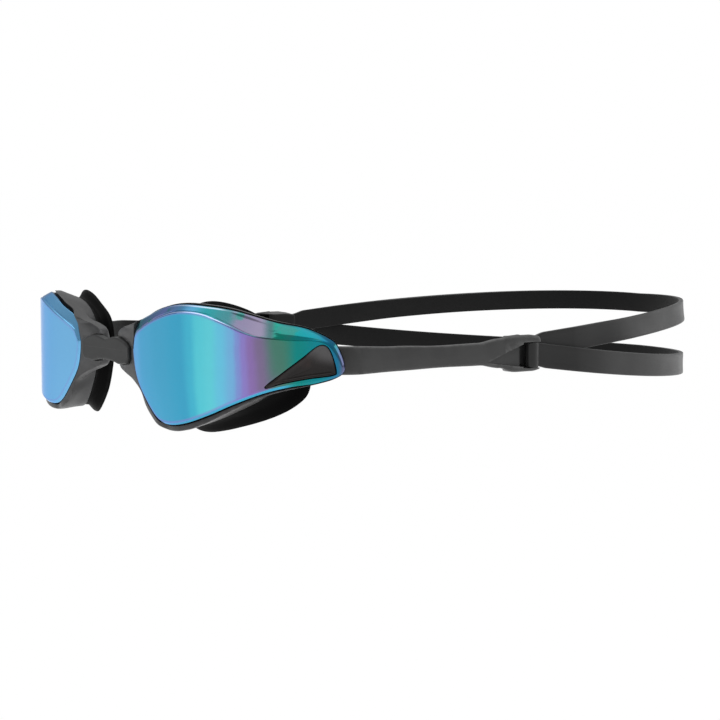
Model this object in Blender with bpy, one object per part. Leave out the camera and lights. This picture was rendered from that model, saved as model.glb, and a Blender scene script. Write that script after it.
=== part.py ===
"""Swim goggles with a clip-in nose bridge, two mirrored wrap-round lenses and a
split silicone head strap.

Frame: +X towards the wearer's left, -Y is the way the wearer looks, +Z up.
The origin is the centre of the flat front face of the nose bridge.
"left" and "right" are the wearer's left (+X) and right (-X). Pieces are drawn
for the left side; side = -1 gives the mirror image.

Dimensions are millimetres. Heights are measured from the lens datum plane;
build_object lowers them by BRIDGE_Z and turns millimetres into metres.
A point on the lens surface is (arc, height, out): the arc length along the
front section, the height, and the distance outside the surface.
"""
import bisect
import math

import bmesh
import bpy
from mathutils import Vector

# ------------------------------------------------------------ general
MM = 0.001
SIDES = (("left", 1), ("right", -1))
GAP = 0.35                  # clearance between neighbouring fixed pieces
BRIDGE_Z = 3.3              # bridge centre above the lens datum plane
SHARP_ANGLE = 35.0          # degrees
PLAN_STEPS = 16             # line points to a span of PLAN
PER = 2                     # mesh stations to a span of the outline tables
ROUND_SIDES = 20            # sides of pegs, studs and their holes

# ------------------------------------------------------------ lens surface
# front section of the lens, seen from above: (x, y)
PLAN = [(4.6, 1.8), (10.6, 1.2), (16.6, 0.6), (23.5, -0.6), (32.0, -1.0),
        (40.6, 0.2), (49.1, 3.4), (57.7, 9.0), (65.1, 16.4), (71.5, 25.6),
        (75.8, 34.2), (78.6, 43.2), (80.6, 52.0)]
PLAN_ZERO = 2               # arc length is counted from this point
RAKE = 0.04                 # lean of the surface at the nose, tangent
CHIN = 0.005                # backward curve of the lower nose corner, per mm
LEAN_ARC0, LEAN_ARC1 = 4.0, 36.0    # the lean fades out between these

# The outline tables have one row to each of 23 stations, from the nose edge
# over the top to the temple tip and back along the bottom.
# Outer rim of the lens: (arc, height, set-back)
RIM = [(0.4, 2.9, 0.6), (1.1, 7.4, 0.7), (3.0, 11.9, 1.2), (11.2, 15.1, 2.0),
       (18.0, 17.4, 2.7), (25.4, 18.6, 3.1), (34.2, 18.3, 3.8),
       (44.2, 17.0, 4.6), (57.2, 13.8, 4.4), (66.4, 12.1, 3.4),
       (73.2, 9.3, 2.2), (76.3, 6.4, 1.5), (78.0, -0.5, 1.1),
       (70.5, -3.5, 0.8), (61.7, -4.8, 0.6), (53.8, -6.7, 0.6),
       (45.2, -9.9, 0.6), (36.8, -13.5, 0.6), (29.1, -16.1, 0.6),
       (21.5, -17.2, 0.6), (14.8, -16.2, 0.6), (8.3, -11.1, 0.6),
       (2.4, -4.3, 0.6)]
# Edge of the lens's front face: (arc, height)
FACE = [(1.1, 2.9), (2.0, 6.4), (4.3, 8.7), (12.0, 12.0), (19.4, 14.7),
        (26.9, 16.4), (34.7, 16.0), (41.8, 13.6), (50.8, 9.9), (61.4, 8.7),
        (70.2, 8.4), (74.3, 5.5), (76.6, -0.4), (70.0, -2.8), (61.3, -4.1),
        (53.5, -6.0), (44.9, -9.2), (36.6, -12.8), (28.9, -15.4),
        (21.7, -16.5), (15.3, -15.6), (9.0, -10.7), (3.1, -4.1)]
# How far the frame's lip stands outside the lens rim
LIP = [0, 0, 0, 0.8, 0.7, 0.7, 0.7, 0.7, 0.7, 0.7, 0.7, 0.7, 0.7, 0.7, 0.8,
       1.0, 1.4, 1.8, 2.0, 2.0, 2.0, 2.2, 0]
# Stations where the frame runs out to the bridge: (arc, height)
HORN = {0: (-10.9, -1.9), 1: (-10.9, 8.3), 2: (-1.2, 11.4), 22: (-2.0, -5.4)}
# Back edge of the frame: (x, y, height)
CUP = [(20.0, 8.8, 2.9), (20.2, 8.8, 7.0), (21.6, 8.8, 11.2),
       (26.0, 9.4, 14.4), (31.5, 10.2, 16.2), (37.5, 11.2, 17.0),
       (44.0, 12.8, 16.8), (50.5, 15.6, 15.2), (56.2, 20.0, 12.0),
       (59.4, 24.0, 9.0), (60.6, 26.2, 6.2), (61.0, 27.2, 3.4),
       (61.1, 27.4, 0.0), (60.6, 26.8, -3.4), (59.0, 24.6, -6.8),
       (55.5, 20.6, -10.2), (50.5, 16.4, -13.4), (44.5, 13.4, -16.2),
       (38.5, 11.4, -18.0), (32.8, 10.2, -18.4), (28.0, 9.4, -16.2),
       (23.2, 8.8, -10.4), (20.6, 8.8, -4.0)]
# Line where the gasket meets the face: (x, y, height)
SEAL = [(18.9, 14.3, 3.0), (19.2, 14.1, 7.8), (21.4, 14.0, 12.0),
        (26.4, 13.9, 15.4), (32.2, 14.4, 18.1), (38.2, 15.3, 19.3),
        (44.8, 17.3, 18.9), (51.4, 20.6, 16.9), (57.2, 24.6, 13.4),
        (60.6, 29.4, 10.2), (61.8, 32.0, 7.0), (62.4, 33.4, 3.6),
        (62.6, 34.2, -0.4), (62.5, 34.8, -5.2), (61.7, 33.4, -9.4),
        (58.9, 29.2, -13.2), (53.8, 24.6, -16.2), (46.8, 20.8, -18.6),
        (39.8, 17.6, -20.4), (33.4, 15.7, -20.9), (28.4, 14.5, -18.9),
        (23.0, 14.3, -12.4), (20.0, 14.3, -4.2)]

# ------------------------------------------------------------ shared parts
INNER_INSET = 0.9           # lens back face, inside the edge of its front face

# Bridge end plate: corners (x, height) from upper inner to lower inner
PLATE = [(8.0, 7.3), (13.2, 6.7), (14.9, 5.2), (14.9, 0.9), (13.2, -0.9),
         (8.4, -1.3)]
PLATE_GAP = 0.7             # free play round the bridge's end plates
BRIDGE_T = 2.0              # thickness of the bridge
PEG_X, PEG_Z = 10.0, BRIDGE_Z       # snap peg of the bridge, axis along Y
PEG_R, PEG_HOLE_R, PEG_HEAD_R = 1.5, 2.2, 2.9

STUD_Y, STUD_Z = 33.5, 2.0  # strap stud, axis along X
STUD_R, STUD_HEAD_R = 1.8, 3.3

TAIL_X0, TAIL_X1 = 66.95, 69.6      # strap end
TAIL_MID_Z = 1.1


# ------------------------------------------------------------ curve helpers
def ramp(value, start, end):
    """0 at start, 1 at end, straight between and level outside."""
    return min(1.0, max(0.0, (value - start) / (end - start)))


def ease(t):
    return t * t * (3 - 2 * t)


def smooth_ramp(value, start, end):
    return ease(ramp(value, start, end))


def lerp(start, end, t):
    return tuple(p + (q - p) * t for p, q in zip(start, end))


def catmull_rom(points, t):
    """Point between the second and third of four points."""
    return tuple(
        0.5 * (2 * b + (c - a) * t + (2 * a - 5 * b + 4 * c - d) * t * t
               + (3 * b - a - 3 * c + d) * t ** 3)
        for a, b, c, d in zip(*points))


def spline(points, per, closed=True):
    """Catmull-Rom curve through the points, per samples to a span."""
    count = len(points)
    curve = []
    for i in range(count if closed else count - 1):
        places = range(i - 1, i + 3)
        if closed:
            around = [points[k % count] for k in places]
        else:
            around = [points[min(max(k, 0), count - 1)] for k in places]
        curve += [catmull_rom(around, j / per) for j in range(per)]
    if not closed:
        curve.append(points[-1])
    return curve


def spread(value, count):
    """One value to each point, from a list or a single number."""
    return value if isinstance(value, list) else [value] * count


def offset(curve, distance):
    """Closed (arc, height) curve moved outwards by a number or a list."""
    count = len(curve)
    moved = []
    for i, dist in enumerate(spread(distance, count)):
        before, after = curve[i - 1], curve[(i + 1) % count]
        run, climb = after[0] - before[0], after[1] - before[1]
        length = math.hypot(run, climb)
        moved.append((curve[i][0] - climb / length * dist,
                      curve[i][1] + run / length * dist))
    return moved


def draw_in(curve, distance, back=0.0):
    """Closed (x, y, height) curve drawn in towards the eye's centre."""
    centre_x = sum(p[0] for p in curve) / len(curve)
    drawn = []
    for x, y, z in curve:
        radius = math.hypot(x - centre_x, z)
        drawn.append((x - (x - centre_x) / radius * distance, y + back,
                      z - z / radius * distance))
    return drawn


plan_line = spline(PLAN, PLAN_STEPS, closed=False)
plan_arc = [0.0]
for start, end in zip(plan_line, plan_line[1:]):
    plan_arc.append(plan_arc[-1] + math.dist(start, end))


def surface_point(arc, height, out):
    """(x, y, height) of a point given on the lens surface."""
    along = arc + plan_arc[PLAN_ZERO * PLAN_STEPS]
    i = min(bisect.bisect_left(plan_arc, along, 1) - 1, len(plan_arc) - 2)
    (x0, y0), (x1, y1) = plan_line[i], plan_line[i + 1]
    length = plan_arc[i + 1] - plan_arc[i]
    t = (along - plan_arc[i]) / length
    normal_x, normal_y = (y1 - y0) / length, (x0 - x1) / length
    # upright at the temple; at the nose it leans, and curves back low down
    lean = -RAKE * height + (CHIN * height * height if height < 0 else 0.0)
    lean *= 1.0 - smooth_ramp(arc, LEAN_ARC0, LEAN_ARC1)
    return (x0 + (x1 - x0) * t + normal_x * out,
            y0 + (y1 - y0) * t + normal_y * out + lean, height)


def surface_ring(curve, out):
    """(arc, height) curve laid on the lens surface; out is number or list."""
    return [surface_point(*point, w)
            for point, w in zip(curve, spread(out, len(curve)))]


# ------------------------------------------------------------ mesh helpers
def build_object(name, verts, faces, mat, side=1):
    mesh = bpy.data.meshes.new(name)
    mesh.from_pydata([(x * side * MM, y * MM, (z - BRIDGE_Z) * MM)
                      for x, y, z in verts], [], faces)
    bm = bmesh.new()
    bm.from_mesh(mesh)
    bmesh.ops.recalc_face_normals(bm, faces=bm.faces)
    bm.to_mesh(mesh)
    bm.free()
    mesh.shade_smooth()
    mesh.set_sharp_from_angle(angle=math.radians(SHARP_ANGLE))
    mesh.materials.append(mat)
    ob = bpy.data.objects.new(name, mesh)
    bpy.context.collection.objects.link(ob)
    return ob


def ring_faces(loops, closed):
    """Quads joining loops of equal length; closed joins last to first."""
    count = len(loops[0])
    faces = []
    for k in range(len(loops) if closed else len(loops) - 1):
        a, b = k * count, ((k + 1) % len(loops)) * count
        for i in range(count):
            j = (i + 1) % count
            faces.append((a + i, a + j, b + j, b + i))
    return faces


def loft(name, loops, mat, side=1, closed=False):
    """Solid through a row of closed loops, with flat ends unless closed."""
    verts = [point for loop in loops for point in loop]
    faces = ring_faces(loops, closed)
    if not closed:
        count = len(loops[0])
        faces.append(tuple(range(count - 1, -1, -1)))
        faces.append(tuple(range(len(verts) - count, len(verts))))
    return build_object(name, verts, faces, mat, side)


def domed(name, rings, first, last, mat, side):
    """Solid from concentric rings whose two ends close on a centre point."""
    count = len(rings[0])
    verts = [point for ring in rings for point in ring] + [first, last]
    faces = ring_faces(rings, False)
    first_index, last_index = len(verts) - 2, len(verts) - 1
    end = (len(rings) - 1) * count
    for i in range(count):
        j = (i + 1) % count
        faces.append((i, j, first_index))
        faces.append((end + j, end + i, last_index))
    return build_object(name, verts, faces, mat, side)


def turned(name, axis, centre, profile, mat, side):
    """Round solid from (place on the axis, radius) pairs. The centre is
    (y, z) for an axis along X and (x, z) for one along Y."""
    loops = []
    for place, radius in profile:
        loop = []
        for i in range(ROUND_SIDES):
            angle = 2 * math.pi * i / ROUND_SIDES
            across = centre[0] + radius * math.cos(angle)
            z = centre[1] + radius * math.sin(angle)
            loop.append((place, across, z) if axis == "X" else (across, place, z))
        loops.append(loop)
    return loft(name, loops, mat, side)


def box(name, x_range, y_range, z_range, mat, side):
    (x0, x1), (y0, y1) = x_range, y_range
    loops = [[(x0, y0, z), (x1, y0, z), (x1, y1, z), (x0, y1, z)] for z in z_range]
    return loft(name, loops, mat, side)


def boolean(ob, tool, operation="DIFFERENCE"):
    """Boolean modifier; the tool stays in the file as a hidden guide."""
    modifier = ob.modifiers.new(tool.name, "BOOLEAN")
    modifier.operation = operation
    modifier.solver = "EXACT"
    modifier.object = tool
    tool.hide_render = True
    tool.display_type = "WIRE"


# ------------------------------------------------------------ materials
def material(name, color, roughness, metallic=0.0, coat=0.0):
    mat = bpy.data.materials.get(name) or bpy.data.materials.new(name)
    mat.use_nodes = True
    inputs = mat.node_tree.nodes["Principled BSDF"].inputs
    inputs["Base Color"].default_value = (*color, 1)
    inputs["Roughness"].default_value = roughness
    inputs["Metallic"].default_value = metallic
    inputs["Coat Weight"].default_value = coat
    mat.diffuse_color = (*color, 1)
    return mat


LENS_MAT = material("mirror_lens", color=(0.10, 0.42, 0.62), roughness=0.08,
                    metallic=0.9, coat=1.0)
FRAME_MAT = material("frame_plastic", color=(0.045, 0.045, 0.048), roughness=0.42)
GASKET_MAT = material("gasket_silicone", color=(0.012, 0.012, 0.013), roughness=0.6)
BRIDGE_MAT = material("bridge_silicone", color=(0.05, 0.05, 0.052), roughness=0.5)
INLAY_MAT = material("inlay_gloss", color=(0.02, 0.014, 0.012), roughness=0.15)
STRAP_MAT = material("strap_silicone", color=(0.035, 0.035, 0.037), roughness=0.5)
ARM_MAT = material("arm_plastic", color=(0.05, 0.05, 0.052), roughness=0.45)
STUD_MAT = material("stud_plastic", color=(0.02, 0.02, 0.02), roughness=0.35)

# The outlines at mesh stations
rim_samples = spline(RIM, PER)
rim_line = [point[:2] for point in rim_samples]
rim_out = [-point[2] for point in rim_samples]
face_line = spline(FACE, PER)
inner_line = offset(face_line, -INNER_INSET)
cup_line = spline(CUP, PER)
seal_line = spline(SEAL, PER)

# ------------------------------------------------------------ lens and inlay
LENS_T = 2.2                        # lens wall
LENS_MID = (33.0, 0.0)              # outline centre (arc, height)
LENS_RING_SCALES = (0.3, 0.5, 0.68, 0.85)   # rings inside each face
RIM_T = 1.1                         # thickness of the rim
RIM_BACK_INSET = 0.25

# Temple inlay outline (arc, height)
INLAY = [(54.4, -4.9), (59.4, -0.8), (65.3, 3.6), (69.8, 7.0), (72.3, 7.0),
         (73.9, 4.6), (75.2, -0.1), (74.2, -1.4), (67.0, -2.3), (59.8, -3.6)]
INLAY_PER = 2
INLAY_BEVEL = 0.25
INLAY_FRONT, INLAY_SIDE, INLAY_BACK = -0.15, -0.4, -2.25    # out
INLAY_CUT = (3.0, -LENS_T - 0.28)                           # out


def lens(tag, side):
    """Front face, bevel, rim and back face, cut through for the inlay."""
    def face_ring(curve, scale, out):
        return surface_ring([lerp(LENS_MID, p, scale) for p in curve], out)

    rings = [face_ring(face_line, scale, 0) for scale in LENS_RING_SCALES]
    rings += [surface_ring(face_line, 0),
              surface_ring(rim_line, rim_out),
              surface_ring(offset(rim_line, -RIM_BACK_INSET),
                           [out - RIM_T for out in rim_out]),
              surface_ring(inner_line, -LENS_T)]
    rings += [face_ring(inner_line, scale, -LENS_T)
              for scale in reversed(LENS_RING_SCALES)]
    ob = domed("lens_" + tag, rings, surface_point(*LENS_MID, 0),
               surface_point(*LENS_MID, -LENS_T), LENS_MAT, side)
    hole = offset(spline(INLAY, INLAY_PER), GAP)
    boolean(ob, loft("inlay_cutter_" + tag,
                     [surface_ring(hole, out) for out in INLAY_CUT],
                     INLAY_MAT, side))


def temple_inlay(tag, side):
    """Three-cornered inlay in the lens wall at the temple."""
    edge = spline(INLAY, INLAY_PER)
    loft("temple_inlay_" + tag,
         [surface_ring(offset(edge, -INLAY_BEVEL), INLAY_FRONT),
          surface_ring(edge, INLAY_SIDE),
          surface_ring(edge, INLAY_BACK)], INLAY_MAT, side)


# ------------------------------------------------------------ frame
SEAT_GAP = GAP + 0.1                # round the lens rim
SEAT_SINK = 1.55 + GAP              # seat behind the rim's front edge
LIP_RISE = 0.6                      # least rise of the lip above the seat
LIP_SWELL = 0.75                    # more rise, at most
SWELL_START = 0.16                  # share of the way round with no swell
LIP_DEPTH = 2.0                     # front to back of the lip's outer side
NOSE_LIP_OUT, NOSE_BACK_OUT = -0.7, -3.6
NOSE_REAR_X, NOSE_REAR_Y = 18.4, 5.0    # outer wall near the nose
FLOOR_OUT = -3.0                    # frame's front face under the lens
OPENING_INSET = 2.6                 # eye opening inside the lens face
WING_OPEN = 55.0                    # arc length where the eye opening ends
WING_OUT = -4.5                     # inner face of the temple wing
WING_LIP_DEPTH = 1.0                # least depth of the lip on the wing
WING_FALLBACK = 0.06                # opening's return towards the nose, per mm
WING_SQUEEZE, WING_SQUEEZE_ARC = 0.35, 14.0     # its loss of height
WING_REAR_ARC, WING_REAR_HEIGHT = 2.2, 1.4  # wing's rear edge past the opening
FRAME_WALL = 1.9                    # wall at the back edge
WALL_SHARE = 0.45                   # bend of the outer wall, lip to back edge
WALL_STEPS = (1 / 3, 2 / 3, 1)
PLATE_INNER = [(-1.0, -0.5), (-1.0, 6.7)]   # pocket's run-in past mid-plane
POCKET_FRONT = -4.0
PEG_CUT_Y = (1.5, 12.0)
STUD_PLAY = 0.3
STUD_CUT_X = (60.0, 71.6)


def lip_outline():
    """Outer edge of the lip, with the horn that runs out to the bridge."""
    widths = spline([(width,) for width in LIP], PER)
    line = offset(rim_line, [width for width, in widths])
    for station, point in HORN.items():
        line[station * PER] = point
    for station in HORN:
        around = [line[(station + k) % len(RIM) * PER] for k in (-1, 0, 1, 2)]
        for j in range(1, PER):
            line[station * PER + j] = catmull_rom(around, j / PER)
    return line


def frame_sections():
    """One cross-section to each station: opening, seat, lip, outer wall,
    back edge and inner wall."""
    count = len(rim_line)
    outer = lip_outline()
    seat = offset(rim_line, SEAT_GAP)
    opening = offset(face_line, -OPENING_INSET)
    inside = draw_in(cup_line, FRAME_WALL)
    sections = []
    for i in range(count):
        seat_out = rim_out[i] - SEAT_SINK
        swell = 0.5 * (1 - math.cos(2 * math.pi * (i / count - SWELL_START)))
        lip_out = seat_out + LIP_RISE + LIP_SWELL * swell
        if i <= 2 * PER or i >= count - 3 * PER:
            lip_out = NOSE_LIP_OUT

        # the opening stops at the wing and folds back on itself
        arc, z = opening[i]
        excess = max(0.0, arc - WING_OPEN)
        edge_arc = min(arc, WING_OPEN) - WING_FALLBACK * excess
        edge_z = z * (1 - WING_SQUEEZE * min(1.0, excess / WING_SQUEEZE_ARC))

        at_nose = i <= 2 * PER or i >= count - PER
        back_out = lip_out - LIP_DEPTH
        if excess:
            back_out = min(WING_OUT, lip_out - WING_LIP_DEPTH)
        elif at_nose:
            back_out = NOSE_BACK_OUT
        lip_back = surface_point(*outer[i], back_out)
        if excess:
            rear = (edge_arc + WING_REAR_ARC,
                    edge_z + math.copysign(WING_REAR_HEIGHT, edge_z))
            wall = [surface_point(*lerp(outer[i], rear, t),
                                  back_out + (WING_OUT - back_out) * t)
                    for t in WALL_STEPS]
        else:
            bend = lerp(lip_back, cup_line[i], WALL_SHARE)
            if at_nose:
                z = cup_line[i][2]
                bend = (NOSE_REAR_X, NOSE_REAR_Y - RAKE * (z - BRIDGE_Z), z)
            wall = [lerp(lip_back, bend, t) for t in WALL_STEPS]

        floor = [surface_point(*lerp((edge_arc, edge_z), inner_line[i], k / 3),
                               FLOOR_OUT) for k in range(4)]
        sections.append(floor + [surface_point(*seat[i], seat_out),
                                 surface_point(*seat[i], lip_out),
                                 surface_point(*outer[i], lip_out), lip_back]
                        + wall + [cup_line[i], inside[i]])
    return sections


def plate_pocket():
    """Outline (x, height) of the end plate, grown by its free play."""
    corners = [Vector(point) for point in PLATE_INNER[1:] + PLATE + PLATE_INNER[:1]]
    grown = []
    for i, corner in enumerate(corners):
        arriving = (corner - corners[i - 1]).normalized()
        leaving = (corners[(i + 1) % len(corners)] - corner).normalized()
        normal = Vector((-arriving.y, arriving.x))
        mitre = (normal + Vector((-leaving.y, leaving.x))).normalized()
        grown.append(corner + mitre * (PLATE_GAP / max(0.5, mitre.dot(normal))))
    return grown


def frame(tag, side):
    """Frame with the bridge's plate pocket and peg hole and the stud hole."""
    ob = loft("frame_" + tag, frame_sections(), FRAME_MAT, side, closed=True)
    pocket = [[(x, y, z) for x, z in plate_pocket()]
              for y in (POCKET_FRONT, BRIDGE_T + PLATE_GAP)]
    boolean(ob, loft("plate_cutter_" + tag, pocket, FRAME_MAT, side))
    boolean(ob, turned("peg_cutter_" + tag, "Y", (PEG_X, PEG_Z),
                       [(y, PEG_HOLE_R) for y in PEG_CUT_Y], FRAME_MAT, side))
    boolean(ob, turned("stud_cutter_" + tag, "X", (STUD_Y, STUD_Z),
                       [(x, STUD_R + STUD_PLAY) for x in STUD_CUT_X],
                       FRAME_MAT, side))


# ------------------------------------------------------------ gasket and stud
NECK_T = 1.6                        # gasket wall half way back
STUD_HEAD_X = 64.3                  # where the shaft meets the head


def gasket(tag, side):
    """Neck behind the frame and flared lip that meets the face."""
    neck = [lerp(p, q, 0.5) for p, q in zip(draw_in(cup_line, 1.4),
                                            draw_in(seal_line, 1.6))]
    rings = [draw_in(cup_line, 0.5, back=GAP), neck, seal_line,
             draw_in(seal_line, 1.3, back=0.9), draw_in(seal_line, 4.2, back=0.1),
             draw_in(neck, NECK_T), draw_in(cup_line, 2.3, back=GAP)]
    loft("gasket_" + tag, list(zip(*rings)), GASKET_MAT, side, closed=True)


def strap_stud(tag, side):
    """Shaft into the frame's wing, with its head on the inner side."""
    profile = [(70.9, STUD_R), (STUD_HEAD_X, STUD_R), (STUD_HEAD_X, STUD_HEAD_R),
               (63.8, STUD_HEAD_R), (63.4, STUD_HEAD_R - 0.5)]
    turned("strap_stud_" + tag, "X", (STUD_Y, STUD_Z), profile, STUD_MAT, side)


# ------------------------------------------------------------ nose bridge
# Waisted span (x, height): top edge, then bottom edge, joined by PLATE
SPAN_TOP = [(0.0, 6.4), (2.2, 6.4), (5.0, 7.0)]
SPAN_BOTTOM = [(4.6, -0.5), (0.0, -0.3)]
# Sections from front to back: (y, scale in x, scale in height)
BRIDGE_SECTIONS = [(0.0, 0.965, 0.88), (0.45, 1, 1), (BRIDGE_T, 1, 1)]
PEG_PROFILE = [(BRIDGE_T - 0.6, PEG_R), (5.6, PEG_R), (5.6, PEG_HEAD_R),
               (6.2, PEG_HEAD_R), (6.8, PEG_R)]     # (y, radius)


def nose_bridge():
    """One moulding: two end plates, the waisted span and two snap pegs."""
    half = SPAN_TOP + PLATE + SPAN_BOTTOM
    outline = half + [(-x, z) for x, z in half[-2:0:-1]]
    loops = [[(x * wide, y, BRIDGE_Z + (z - BRIDGE_Z) * high) for x, z in outline]
             for y, wide, high in BRIDGE_SECTIONS]
    ob = loft("nose_bridge", loops, BRIDGE_MAT)
    for tag, side in SIDES:
        boolean(ob, turned("peg_guide_" + tag, "Y", (PEG_X, PEG_Z), PEG_PROFILE,
                           BRIDGE_MAT, side), "UNION")


# ------------------------------------------------------------ side arm
ARM_T = 2.2                         # band thickness
ARM_X = 71.0                        # centre plane behind the temples
ARM_X0 = 65.9                       # and beside the strap stud
ARM_SHIFT_Y0, ARM_SHIFT_Y1 = 36.2, 47.2
ARM_THIN_Y, ARM_THINNING = 38.0, 0.2    # thinner ahead of this, each face
STUD_HOLE_R = 2.5
# Edges of the arm: (y, lower height, upper height)
ARM_EDGES = [(27.0, -2.0, 6.0), (33.0, -2.6, 6.5), (43.0, -2.3, 6.2),
             (60.0, -2.0, 5.5), (77.0, -1.8, 4.9), (92.0, -2.0, 5.0),
             (100.0, -3.2, 6.0), (106.0, -4.6, 6.8), (109.0, -4.9, 7.0)]
ARM_YS = [29.4, 30.4, 32.0, 34.0, 36.0, 38.0, 40.0, 42.0, 44.0, 47.5, 53.0,
          60.0, 68.0, 77.0, 85.0, 92.0, 96.0, 100.0, 103.0, 106.0, 108.5]
ARM_END_INSETS = {0: 2.2, 1: 0.7}   # rounding of the front end, by station

SLEEVE_Y0, SLEEVE_Y1 = 103.0, 116.0
SLEEVE_X0, SLEEVE_X1 = 65.0, 72.7
SLEEVE_Z0, SLEEVE_Z1 = -5.2, 7.2
SLEEVE_INNER_BEVEL, SLEEVE_OUTER_BEVEL = 0.6, 0.8
SLOT_X0, SLOT_X1 = 66.6, 70.0
SLOT_Z0, SLOT_Z1 = -4.0, 6.2
WINDOW_Y0 = 108.7
WINDOW_Z1 = 4.5
BAR_Y0, BAR_Y1 = 111.4, 115.7
BAR_Z = (-3.65, 4.15)
BAR_X0, BAR_ROUND_X, BAR_BULGE = 70.35, 71.4, 1.35
BAR_STEPS = 6


def arm_edges(y):
    """Lower and upper edge of the side arm at y."""
    for (y0, *edges0), (y1, *edges1) in zip(ARM_EDGES, ARM_EDGES[1:]):
        if y <= y1:
            return lerp(edges0, edges1, smooth_ramp(y, y0, y1))


def arm_section(y, inset):
    """Section at y, bevelled on the outer side; the band is tucked inside
    the temple wing at the front."""
    low, high = arm_edges(y)
    low, high = low + inset, high - inset
    x = ARM_X0 + (ARM_X - ARM_X0) * smooth_ramp(y, ARM_SHIFT_Y0, ARM_SHIFT_Y1)
    half = ARM_T / 2 - (ARM_THINNING if y < ARM_THIN_Y else 0.0)
    inner, outer = x - half, x + half
    return [(inner, y, low), (outer - 0.5, y, low), (outer, y, low + 0.6),
            (outer, y, high - 0.6), (outer - 0.5, y, high), (inner, y, high)]


def sleeve_guide(tag, side):
    """Adjuster loop at the back end of the arm."""
    inner, outer = SLEEVE_INNER_BEVEL, SLEEVE_OUTER_BEVEL
    outline = [(SLEEVE_X0 + inner, SLEEVE_Z0), (SLEEVE_X1 - outer, SLEEVE_Z0),
               (SLEEVE_X1, SLEEVE_Z0 + outer), (SLEEVE_X1, SLEEVE_Z1 - outer),
               (SLEEVE_X1 - outer, SLEEVE_Z1), (SLEEVE_X0 + inner, SLEEVE_Z1),
               (SLEEVE_X0, SLEEVE_Z1 - inner), (SLEEVE_X0, SLEEVE_Z0 + inner)]
    loops = [[(x, y, z) for x, z in outline] for y in (SLEEVE_Y0 + 1.0, SLEEVE_Y1)]
    return loft("sleeve_guide_" + tag, loops, ARM_MAT, side)


def side_arm(tag, side):
    arm = loft("side_arm_" + tag,
               [arm_section(y, ARM_END_INSETS.get(i, 0.0))
                for i, y in enumerate(ARM_YS)], ARM_MAT, side)
    boolean(arm, sleeve_guide(tag, side), "UNION")
    cut_end = SLEEVE_Y1 + 3.0
    boolean(arm, box("strap_slot_cutter_" + tag, (SLOT_X0, SLOT_X1),
                     (SLEEVE_Y0 - 6.0, cut_end), (SLOT_Z0, SLOT_Z1), ARM_MAT, side))
    boolean(arm, box("window_cutter_" + tag, (SLOT_X1 - 1.0, SLEEVE_X1 + 3.0),
                     (WINDOW_Y0, cut_end), (SLOT_Z0, WINDOW_Z1), ARM_MAT, side))
    boolean(arm, turned("arm_hole_cutter_" + tag, "X", (STUD_Y, STUD_Z),
                        [(x, STUD_HOLE_R) for x in (60.0, 76.0)], ARM_MAT, side))


def adjuster_bar(tag, side):
    """Cross bar of the adjuster, rounded on its outer side."""
    middle, half = (BAR_Y0 + BAR_Y1) / 2, (BAR_Y1 - BAR_Y0) / 2
    outline = [(BAR_X0, BAR_Y1), (BAR_X0, BAR_Y0)]
    for i in range(BAR_STEPS + 1):
        angle = math.pi * i / BAR_STEPS
        outline.append((BAR_ROUND_X + BAR_BULGE * math.sin(angle),
                        middle - half * math.cos(angle)))
    loft("adjuster_bar_" + tag, [[(x, y, z) for x, y in outline] for z in BAR_Z],
         STUD_MAT, side)


# ------------------------------------------------------------ strap
TAIL_Y0, TAIL_Y1 = 80.0, 117.4
TAIL_WIDE_Y, TAIL_NARROW_Y = 112.5, 106.0
TAIL_HALF, TAIL_NARROWING = 4.65, 1.75      # half height and its loss
TAIL_RISE = 0.45                    # lift of the narrow part
TAIL_TIP_INSET = 1.4

SPLIT_Y = 118.0                     # where the strap divides into two branches
RUN_X, RUN_Y = 68.5, 134.0          # where the branches start to curve inwards
BACK_Y = 228.0                      # back of the head loop
LEAD_YS = (SPLIT_Y, 122.4, 126.0, 130.0)
# Bezier points (x, y) of the run round the head, seen from above
HEAD_CURVE = ((RUN_X, RUN_Y), (66.8, RUN_Y + 46.0), (42.0, BACK_Y), (0.0, BACK_Y))
HEAD_STEPS = 26
BRANCH_T0, BRANCH_T = 1.2, 1.6      # thickness at the split and beyond
LAYER_GAP = 0.1                     # branch face to the strap's mid-plane
BRANCH_NARROWING = 0.6              # width lost on the way to the back


def strap_tail(tag, side):
    """End of the strap: both branches in one, through the adjuster."""
    loops = []
    for y in (TAIL_Y0, TAIL_Y0 + 1.5, 95.0, TAIL_NARROW_Y, 108.0, 110.5,
              TAIL_WIDE_Y, TAIL_Y1):
        narrow = ramp(y, TAIL_WIDE_Y, TAIL_NARROW_Y)
        half = TAIL_HALF - TAIL_NARROWING * ease(narrow)
        if y == TAIL_Y0:
            half -= TAIL_TIP_INSET
        middle = TAIL_MID_Z + TAIL_RISE * narrow
        z0, z1 = middle - half, middle + half
        loops.append([(TAIL_X0, y, z0), (TAIL_X1, y, z0),
                      (TAIL_X1, y, z1), (TAIL_X0, y, z1)])
    loft("strap_tail_" + tag, loops, STRAP_MAT, side)


def head_path(t):
    """Curve round the head, t = 0 at RUN_Y and 1 at the back."""
    weights = ((1 - t) ** 3, 3 * (1 - t) ** 2 * t, 3 * (1 - t) * t * t, t ** 3)
    return tuple(sum(w * p[axis] for w, p in zip(weights, HEAD_CURVE))
                 for axis in (0, 1))


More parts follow.
